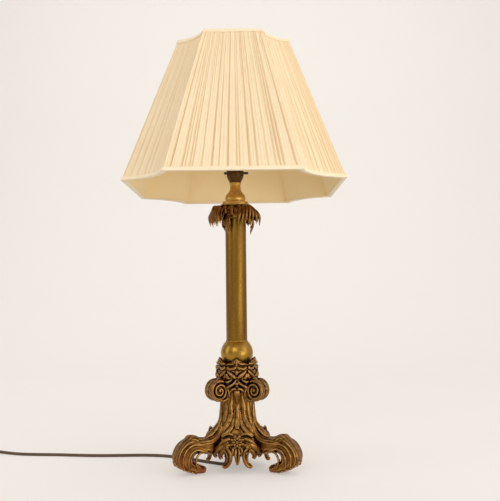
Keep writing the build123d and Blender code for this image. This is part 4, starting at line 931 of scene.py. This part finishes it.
def add_turned():
    """The ball, the turned pieces above it, the push bar and the bulb's glass."""
    rim_low = asin((BALL_CENTRE - BALL_LOW) / BALL_RADIUS)
    rim_high = asin((BALL_HIGH - BALL_CENTRE) / BALL_RADIUS)
    ball = [(BALL_RADIUS * cos(a), BALL_CENTRE + BALL_RADIUS * sin(a)) for a in np.linspace(-rim_low,
        rim_high, 49)]
    ball = [(ROD_BORE, BALL_LOW)] + ball + [(ROD_BORE, BALL_HIGH)]
    dress(spun("ball_skin", ball, 128, 60), "polished_brass", "base", "ball")
    for piece, node, slot, finish, radius, segments, corners in TURNED:
        dress(spun(piece, rounded(corners, radius), segments), slot, "base", node, finish=finish)
    ends = [(0.0, -21.8), (1.9, -21.8), (2.45, -21.0), (2.45, 24.6), (1.9, 25.5), (0.0, 25.5)]
    bar = lathe("push_bar_skin", rounded(ends, 0.6), 40)
    lift = Matrix.Translation((0, 0, (BAR_HEIGHT + RISE) * MM))
    bar.data.transform(lift @ Matrix.Rotation(pi / 2, 4, "Y"))
    dress(bar, "push_bar_black", "push_bar", "push_bar")
    side = [(10.2, 597.9), (12.2, 605), (17.0, 619), (25.0, 636), (29.3, 648), (BULB_RADIUS, BULB_CENTRE)]
    dome = [(BULB_RADIUS * cos(a), BULB_CENTRE + BULB_RADIUS * sin(a)) for a in np.linspace(0.06, pi / 2,
        24)[:-1]]
    glass = [(9.0, BULB_LOW), (10.2, BULB_LOW)] + [tuple(p) for p in smooth_path(side, 26)] + dome + [(0.0,
        684.9)]
    inner = [(max(r - 1.0, 0.0), z - (1.0 if r < 4 else 0.4)) for r, z in reversed(glass[2:])]
    dress(spun("bulb_glass_skin", glass + inner + [(9.1, BULB_LOW)], 96, 70), "bulb_opal", "bulb",
          "bulb_glass")


# ---- capital -----------------------------------------------------------------------------
# place: azimuth, spread, reach, height of the tips
FRONDS = {"left": (208.0, 21.0, 48.5, 451.0), "right": (309.0, 26.0, 45.0, 453.0),
          "rear": (80.0, 22.0, 47.5, 455.0)}
FROND_LEAFLETS, FROND_COLUMNS, FROND_SEED = 7, 33, 11
LEAF_AZIMUTHS, LEAF_SEED = (241.0, 5.0, 130.0), 31
# leaflets of a lower leaf: share of its width, height of the tip, size
LEAF_LEAFLETS = ((-1.0, 452, 2.0), (-0.5, 444, 2.4), (0.0, 436.5, 2.6), (0.5, 443, 2.4), (1.0, 451, 2.0))
LEAF_HALF = 6.0
FRILL_COUNT, FRILL_START = 13, 8.0


def leaflet(start, crest, drop, tip, width, local):
    """A palm leaflet: up from its root, over its crest and down to a fine tip."""
    rows = [(*start, width * 0.5), (*crest, width), (*drop, width * 0.95), (*tip, 0.5)]
    lean = local.uniform(-0.5, 0.5)
    return curl(rows, (lean, 1.0, 0.0), 1.0, 30, 10)


def frond_sheet(spread, reach):
    """The web of a frond under its leaflets: an umbrella that springs from the collar and hangs."""
    spine = smooth_path([(23.0, 482), (29, 488.5), (reach - 13, 490.0), (reach - 5, 486.0),
        (reach - 1.8, 476), (reach - 3.0, 466)], 26)
    outer, inner = [], []
    for k, (out, up) in enumerate(spine):
        t = k / (len(spine) - 1)
        wide = spread * min(1.0, 0.25 + 1.25 * t)
        for share in np.linspace(-1, 1, FROND_COLUMNS):
            ridge = 0.8 * abs(sin(share * pi * 3.5))
            row = (out - 5.0 * share**2 - (1 - ridge) * t, wide * share,
                   up - 6.5 * share**2 * (1 - 0.4 * t) - 2.5 * ridge * t**4)
            outer.append(row)
            inner.append((row[0] - 2.4 * t, row[1] * 0.94, row[2] - 2.6 * (1 - t)))
    verts = np.array(outer + inner)
    rows, columns, half = len(spine), FROND_COLUMNS, len(outer)
    faces = [tuple(reversed(face)) for face in grid_faces(rows, columns, False)]
    faces += [tuple(half + i for i in face) for face in grid_faces(rows, columns, False)]
    border = list(range(columns)) + [k * columns + columns - 1 for k in range(1, rows)]
    border += [(rows - 1) * columns + k for k in range(columns - 2, -1, -1)]
    border += [k * columns for k in range(rows - 2, 0, -1)]
    for a, b in zip(border, border[1:] + border[:1]):
        faces.append((a, b, half + b, half + a))
    return verts, faces


def frond_shells(seed, spread, reach, low):
    """A drooping palm frond drawn with x outwards: a stalk, ribbed leaflets and a jagged fringe."""
    local = np.random.default_rng(seed)
    shells = [curl([(24.0, 0, 480, 3.0), (29, 0, 488, 3.2), (36, 0, 490.0, 3.2), (43, 0, 488, 2.8),
                    (reach, 0, 481, 2.0)], wide=1.5),
              frond_sheet(spread, reach)]
    gaps = FROND_LEAFLETS - 1
    for k in range(FROND_LEAFLETS):
        share = (k / gaps) * 2 - 1
        across = spread * share
        bend = 1 - abs(share)
        crest = (reach - 9 + 5.5 * bend, across * 0.6, 489.0 - 5.0 * share**2)
        drop = (reach - 2.0 + 1.0 * bend, across * 0.92, 474 - 3.5 * abs(share))
        tip = (reach - 3.6 + local.uniform(-1.2, 1.0), across * 1.02 + local.uniform(-0.8, 0.8),
               low + local.uniform(-1.5, 5.0))
        shells.append(leaflet((28, across * 0.15, 485), crest, drop, tip, 3.3, local))
        if k < gaps:
            inner = across + spread / gaps
            shells.append(leaflet((27, inner * 0.2, 483), (reach - 12 + 3 * bend, inner * 0.6, 483.5),
                (reach - 6.5, inner * 0.95, 471),
                                  (reach - 8, inner, low + 4 + local.uniform(-2, 4)), 2.8, local))
    return shells


def lower_leaf_shells(seed):
    """A lower leaf drawn with x outwards: it springs from the collar and curls down the tube."""
    local = np.random.default_rng(seed)
    shells = []
    for share, low, size in LEAF_LEAFLETS:
        across = LEAF_HALF * share
        shells.append(curl([(25.0, across * 0.6, 476, size * 0.7), (29.5, across * 0.9, 474.5, size),
            (33.5, across, 466, size),
                            (34.0 - 0.8 * abs(share), across * 0.95, 456, size * 0.9),
                            (31.0, across * 0.75, (low + 456) / 2, size * 0.7),
                            (28.0 + 0.6 * abs(share), across * 0.55 + local.uniform(-0.5, 0.5), low, 0.5)],
                            (0.1, 1, 0), 1.05, 40, 10))
    shells.append(blob((27.5, 0, 479.5), (3.2, 5.0, 3.4)))
    return shells


def flower_shells():
    """A small flower drawn with x outwards: five petals and a bead."""
    turns = np.linspace(0, 2 * pi, 6)[:-1]
    petals = [blob((28.2, 3.0 * cos(a), 485.0 + 3.0 * sin(a)), (1.5, 1.7, 1.7)) for a in turns]
    return petals + [blob((29.0, 0, 485), (1.5, 1.5, 1.5))]


def frill_shell(k):
    """One drop of the frill round the collar."""
    rows = [(23.5, 0, 490.5, 2.6), (28.5, 0, 489.5, 3.4), (31.0, 0, 484.5, 3.6),
            (30.5, 1.0, 477.5 - 2.0 * (k % 2), 2.6),
            (28.0, 2.0, 472.5 - 3.0 * (k % 3), 1.0)]
    return turned_shell(curl(rows, wide=1.35, count=30), 360.0 * k / FRILL_COUNT + FRILL_START)


def add_capital():
    """The three fronds, the three lower leaves, the small flowers between them and the frill."""
    for k, (place, (azimuth, spread, reach, low)) in enumerate(FRONDS.items()):
        shells = raised(round_lamp(frond_shells(FROND_SEED + k, spread, reach, low), [azimuth]))
        dress(fused(f"frond_{place}_cast", shells, 0.5, 1), "bronzed_leaf", "base", f"frond_{place}")
    shells = []
    for k, azimuth in enumerate(LEAF_AZIMUTHS):
        shells += round_lamp(lower_leaf_shells(LEAF_SEED + k) + flower_shells(), [azimuth])
    shells += [frill_shell(k) for k in range(FRILL_COUNT)]
    dress(fused("lower_leaves_cast", raised(shells), 0.5, 1), "bronzed_leaf", "base", "lower_leaves")


# ---- shade -------------------------------------------------------------------------------
SHADE_LOW, SHADE_HIGH = 533.1, 813.5
LOW_HALF, LOW_FLAT, HIGH_HALF, HIGH_FLAT, SCOOP = 203.0, 118.0, 106.5, 53.75, 0.72
# how far inside the shade's outline the cloths lie, and how far they stop short of its edges
COVER_CREST, COVER_DEPTH, COVER_BACK, COVER_EDGE = 1.3, 2.9, 5.9, 2.0
LINING_FRONT, LINING_BACK, LINING_EDGE, LINING_ROWS = 7.0, 7.8, 1.6, 14
FLAT_STEPS, SCOOP_STEPS, COVER_ROWS, DRIFTS = 330, 190, 40, 24
# section of a bound edge: (distance from the edge, inset)
TRIM_BAND = [(0.0, 2.0), (0.0, 1.0), (0.5, 0.25), (1.6, 0.0), (3.4, 0.0), (5.4, 0.0), (6.5, 0.15), (7.0, 0.7),
             (7.0, 1.7), (6.0, 1.8), (2.0, 1.8), (2.0, 8.0), (3.4, 8.0), (3.4, 8.9), (2.0, 9.2), (0.6, 9.0),
             (0.0, 8.2)]


def shade_plan(height, inset):
    """Half width, half flat, scoop centre and scoop radius of the shade at a height."""
    t = (height - SHADE_LOW) / (SHADE_HIGH - SHADE_LOW)
    half = LOW_HALF + (HIGH_HALF - LOW_HALF) * t
    flat = LOW_FLAT + (HIGH_FLAT - LOW_FLAT) * t
    rise = SCOOP * (half - flat) * (1 - sqrt(0.5))
    chord = sqrt(2) * (half - flat)
    radius = (chord**2 / 4 + rise**2) / (2 * rise)
    centre = (half + flat) / 2 + (radius - rise) * sqrt(0.5)
    radius += inset
    half -= inset
    return half, centre - sqrt(radius**2 - (centre - half) ** 2), centre, radius


def shade_outline(height, inset, flat_steps, scoop_steps):
    """Plan points round the shade at a height, evenly along the flats and the scoops."""
    half, flat, centre, radius = shade_plan(height, inset)
    swing = pi / 4 - asin((centre - half) / radius)
    along = np.linspace(-flat, flat, flat_steps, endpoint=False)
    edge = np.column_stack([along, np.full(flat_steps, -half)])
    angle = 3 * pi / 4 + swing * (1 - np.linspace(0, 2, scoop_steps, endpoint=False))
    scoop = np.column_stack([centre + radius * np.cos(angle), -centre + radius * np.sin(angle)])
    quarter = np.vstack([edge, scoop])
    parts = []
    for _ in range(4):
        parts.append(quarter)
        quarter = np.column_stack([-quarter[:, 1], quarter[:, 0]])
    return np.vstack(parts)


def pleat_profile(count, local):
    """Depth of the gathered cloth round the shade, from 0 on a crest to 1 in a fold: fine shallow
    pleats, with a deep fold after every few."""
    depth = np.zeros(count)
    place, shallow = 0.0, 2
    while place < count:
        width = local.uniform(5.0, 11.0)
        lean = local.uniform(0.35, 0.8)
        amount = local.uniform(0.12, 0.42)
        shallow -= 1
        if shallow <= 0:
            shallow = int(local.integers(1, 4))
            amount, width = local.uniform(0.75, 1.3), local.uniform(6.0, 12.0)
        first, last = int(place), min(count, int(place + width) + 1)
        for i in range(first, last):
            s = (i - place) / width
            if 0 <= s <= 1:
                fold = s / lean if s < lean else (1 - s) / (1 - lean)
                depth[i] = max(depth[i], amount * fold**1.3)
        place += width
    return depth


def shade_row(height, inset, flat_steps, scoop_steps):
    """Corners round the shade at a height."""
    plan = shade_outline(height, inset, flat_steps, scoop_steps)
    return np.column_stack([plan, np.full(len(plan), height)])


def add_cover():
    """The pleated cover: folds run up the cloth, converge and drift, and are held by the trims."""
    count = 4 * (FLAT_STEPS + SCOOP_STEPS)
    steps = np.arange(count)
    first, second = pleat_profile(count, rng), pleat_profile(count, rng)
    outer, inner, folds = [], [], []
    drift = np.cumsum(rng.normal(0, 0.85, (COVER_ROWS, DRIFTS)), axis=0)
    for t, moved in zip(np.linspace(0, 1, COVER_ROWS), drift):
        height = SHADE_LOW + COVER_EDGE + (SHADE_HIGH - SHADE_LOW - 2 * COVER_EDGE) * t
        index = steps + np.interp(np.linspace(0, DRIFTS, count), np.arange(DRIFTS), moved) * 0.22
        a, b = (np.interp(index % count, steps, profile) for profile in (first, second))
        blend = 0.5 - 0.5 * np.cos(pi * np.clip(t * 1.3 - 0.15, 0, 1))
        depth = np.maximum(a * (1 - 0.35 * blend), b * 0.55 * blend)
        size = COVER_DEPTH * min(1.0, 0.45 + min(t, 1 - t) * 9)
        crest, deep, back = (shade_row(height, inset, FLAT_STEPS, SCOOP_STEPS)
                             for inset in (COVER_CREST, COVER_CREST + size, COVER_BACK))
        outer.append(crest + (deep - crest) * depth[:, None])
        inner.append(back)
        folds.append(depth)
    cover = mesh_object("shade_cover_cloth", np.vstack(outer + inner[::-1]),
        wrapped_faces(2 * COVER_ROWS, count), 60)
    # the pleat depth, stored for the cloth's painted shade in the folds
    painted_fold_shade = cover.data.attributes.new("fold", "FLOAT", "POINT")
    painted_fold_shade.data.foreach_set("value", np.concatenate(folds + [np.zeros(count * COVER_ROWS)]).astype(np.float32))
    dress(cover, "pleated_cloth", "shade", "shade_cover")


def ring_mesh(name, levels, flat_steps, scoop_steps):
    """A closed band round the shade from (height, inset) corners."""
    rows = [shade_row(height, inset, flat_steps, scoop_steps) for height, inset in levels]
    return mesh_object(name, np.vstack(rows), wrapped_faces(len(rows), len(rows[0])), 50)


def add_shade():
    """The lining, the two bound edges and the cover."""
    heights = np.linspace(SHADE_LOW + LINING_EDGE, SHADE_HIGH - LINING_EDGE, LINING_ROWS)
    levels = [(height, LINING_FRONT) for height in heights] + [(height,
        LINING_BACK) for height in heights[::-1]]
    lining = dress(ring_mesh("shade_lining_cloth", levels, 24, 24), "lining_cloth", "shade", "shade_lining")
    for edge, height, sign in (("bottom", SHADE_LOW, 1), ("top", SHADE_HIGH, -1)):
        levels = [(height + sign * along, inset) for along, inset in TRIM_BAND]
        dress(ring_mesh(f"shade_trim_{edge}_tape", levels, 60, 40), "trim_tape", "shade",
              f"shade_trim_{edge}")
    add_cover()


# ---- lead, bush and plug -----------------------------------------------------------------
PLUG_ROUND, PLUG_EDGE = 9, 2.4


def add_lead():
    """The lead with its bush and its plug."""
    cord = nurbs_tube("mains_lead", CORD_ROUTE + coil_points(), CORD_RADIUS)
    ribs = [(radius + 0.3 * k, height + 2.1 * k) for k in range(7)
            for radius, height in ((4.35, 19.5), (3.75, 20.1), (3.8, 20.9))]
    head = [(6.4, 34.9), (6.4, 38.0), (7.9, 38.1), (7.9, 40.6), (7.2, 41), (3.05, 41)]
    bush = lathe("cord_bush_skin", [(3.05, 18), (4.0, 18), (4.2, 18.6)] + ribs + head, 48, 30)
    bush.data.transform(Matrix.Translation((CORD_ROUTE[0][0] * MM, CORD_ROUTE[0][1] * MM, 0)))
    dress(bush, "bush_black", "base", "cord_bush")
    plug = add_plug()
    dress(cord, "flex_brown", "base", "cord_run", "cord_coil")


def add_plug():
    """The plug's moulded body, lying on its back, with rounded corners and a softened top edge."""
    work = bmesh.new()
    bmesh.ops.create_cube(work, size=1.0)
    low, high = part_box("plug_body")
    size = Vector(high) - Vector(low)
    middle = (Vector(high) + Vector(low)) / 2
    bmesh.ops.scale(work, vec=size, verts=work.verts)
    upright = [e for e in work.edges if abs((e.verts[0].co - e.verts[1].co).normalized().z) > 0.9]
    bmesh.ops.bevel(work, geom=upright, offset=PLUG_ROUND * MM, segments=8, affect="EDGES", profile=0.5)
    level = [e for e in work.edges if abs(e.verts[0].co.z - e.verts[1].co.z) < 1e-6 and e.verts[0].co.z > 0]
    bmesh.ops.bevel(work, geom=level, offset=PLUG_EDGE * MM, segments=4, affect="EDGES", profile=0.5)
    bmesh.ops.translate(work, vec=middle, verts=work.verts)
    mesh = bpy.data.meshes.new("plug_skin")
    work.to_mesh(mesh)
    work.free()
    mesh.shade_smooth()
    mesh.set_sharp_from_angle(angle=radians(35))
    return dress(link("plug_skin", mesh), "plug_brown", "base", "plug_body")


# ---- studio ------------------------------------------------------------------------------
# metres: the floor's front edge, where it starts to rise, how it rises, its top and its half width
SWEEP_FRONT, SWEEP_BEND, SWEEP_ROUND, SWEEP_TOP, SWEEP_HALF = -40.0, 1.6, 1.6, 5.0, 6.0
PAPER_SEEN = (0.57, 0.538, 0.505), (0.585, 0.552, 0.518)
PAPER_LIT, PAPER_GLOW, GLOW_STRENGTH = (0.80, 0.78, 0.76), (0.95, 0.895, 0.835, 1.0), 0.40
SKY_STOPS = [(0.10, grey(0.40)), (0.42, grey(0.52)), (0.64, grey(0.95)), (1.0, grey(1.0))]
SKY_STRENGTH = 0.85
# name, place, aim, width, height in metres, watts
LAMPS = [
    ("key", (-0.6, -2.3, 1.5), (0.0, 0.0, 0.45), 1.6, 1.2, 14.5),
    ("fill_right", (2.2, -1.0, 1.2), (0.0, 0.0, 0.4), 1.2, 1.8, 7.5),
    ("fill_left", (-2.3, -0.6, 1.2), (0.0, 0.0, 0.4), 1.2, 1.8, 9.5),
    ("top", (0.0, 0.3, 2.9), (0.0, 0.0, 0.0), 2.2, 1.6, 4.0),
    ("low_right", (1.5, -1.6, 0.22), (0.0, 0.0, 0.66), 1.4, 0.4, 9.0),
    ("back_wash", (0.0, 1.4, 2.6), (0.0, 3.0, 0.8), 3.0, 1.0, 14.0),
]


def add_sweep():
    """A pale sweep for floor and backdrop. Camera and gloss rays see its own pale tone, and the
    light that it throws back is whiter."""
    bend = [(SWEEP_BEND + SWEEP_ROUND * sin(a), SWEEP_ROUND - SWEEP_ROUND * cos(a)) for a in np.linspace(0.1,
        pi / 2, 16)]
    profile = [(SWEEP_FRONT, 0.0), (SWEEP_BEND, 0.0)] + bend + [(SWEEP_BEND + SWEEP_ROUND, SWEEP_TOP)]
    verts = [(x / MM, y / MM, z / MM) for y, z in profile for x in (-SWEEP_HALF, SWEEP_HALF)]
    faces = [(2 * i, 2 * i + 1, 2 * i + 3, 2 * i + 2) for i in range(len(profile) - 1)]
    sweep = mesh_object("studio_sweep", verts, faces)
    material, shader = node_material("studio_paper")
    path = add_node(material, "ShaderNodeLightPath").outputs
    seen = maths(material, "MAXIMUM", path["Is Camera Ray"], path["Is Glossy Ray"])
    paper = mix(material, noise(material, 3.0), *PAPER_SEEN)
    join(material, mix(material, seen, PAPER_LIT, paper), shader.inputs["Base Color"])
    shader.inputs["Emission Color"].default_value = PAPER_GLOW
    join(material, times(material, seen, GLOW_STRENGTH), shader.inputs["Emission Strength"])
    shader.inputs["Roughness"].default_value = 0.95
    shader.inputs["Specular IOR Level"].default_value = 0.1
    sweep.data.materials.append(material)


def add_lights():
    """A world that brightens from left to right, and soft lamps above and to both sides."""
    world = bpy.data.worlds.new("studio")
    scene.world = world
    world.use_nodes = True
    back = world.node_tree.nodes["Background"]
    place = add_node(world, "ShaderNodeTexCoord").outputs["Generated"]
    sideways = add_node(world, "ShaderNodeSeparateXYZ", Vector=place).outputs[0]
    share = add_node(world, "ShaderNodeMath", {"operation": "MULTIPLY_ADD"}, i0=sideways, i1=0.5, i2=0.5)
    join(world, ramp(world, share.outputs[0], SKY_STOPS), back.inputs[0])
    back.inputs[1].default_value = SKY_STRENGTH
    for name, place, aim, width, height, power in LAMPS:
        data = bpy.data.lights.new(name, "AREA")
        data.shape = "RECTANGLE"
        data.size, data.size_y, data.energy = width, height, power
        turn = (Vector(aim) - Vector(place)).to_track_quat("-Z", "Y").to_matrix().to_4x4()
        link(name, data).matrix_world = Matrix.Translation(place) @ turn


# the plate and screws under the base take a dark colour in place of their own finish: painted shade under the
# base
UNDER_BASE_PAINTED_SHADE = ("base_plate", "plate_screws", "foot_screws", "volute_screws")
add_camera()
add_lead()
add_copies("foot", CORNERS, foot_shells(), 0.75)
add_pedestal()
add_copies("volute", CORNERS, volute_shells(), 0.6)
add_copies("apron", FACES, apron_shells(), 0.6)
rosettes = round_lamp(rosette_shells(), FACES.values())
dress(fused("rosettes_cast", rosettes, 0.45, 1), "antique_brass", "base", "rosettes")
add_crown()
add_turned()
add_capital()
add_shade()
add_sweep()
add_lights()
for node, obj in frame["nodes"].items():
    obj.data.materials.clear()
    obj.data.materials.append(MATERIALS["plate_dark" if node in UNDER_BASE_PAINTED_SHADE else KEEPS[node]])
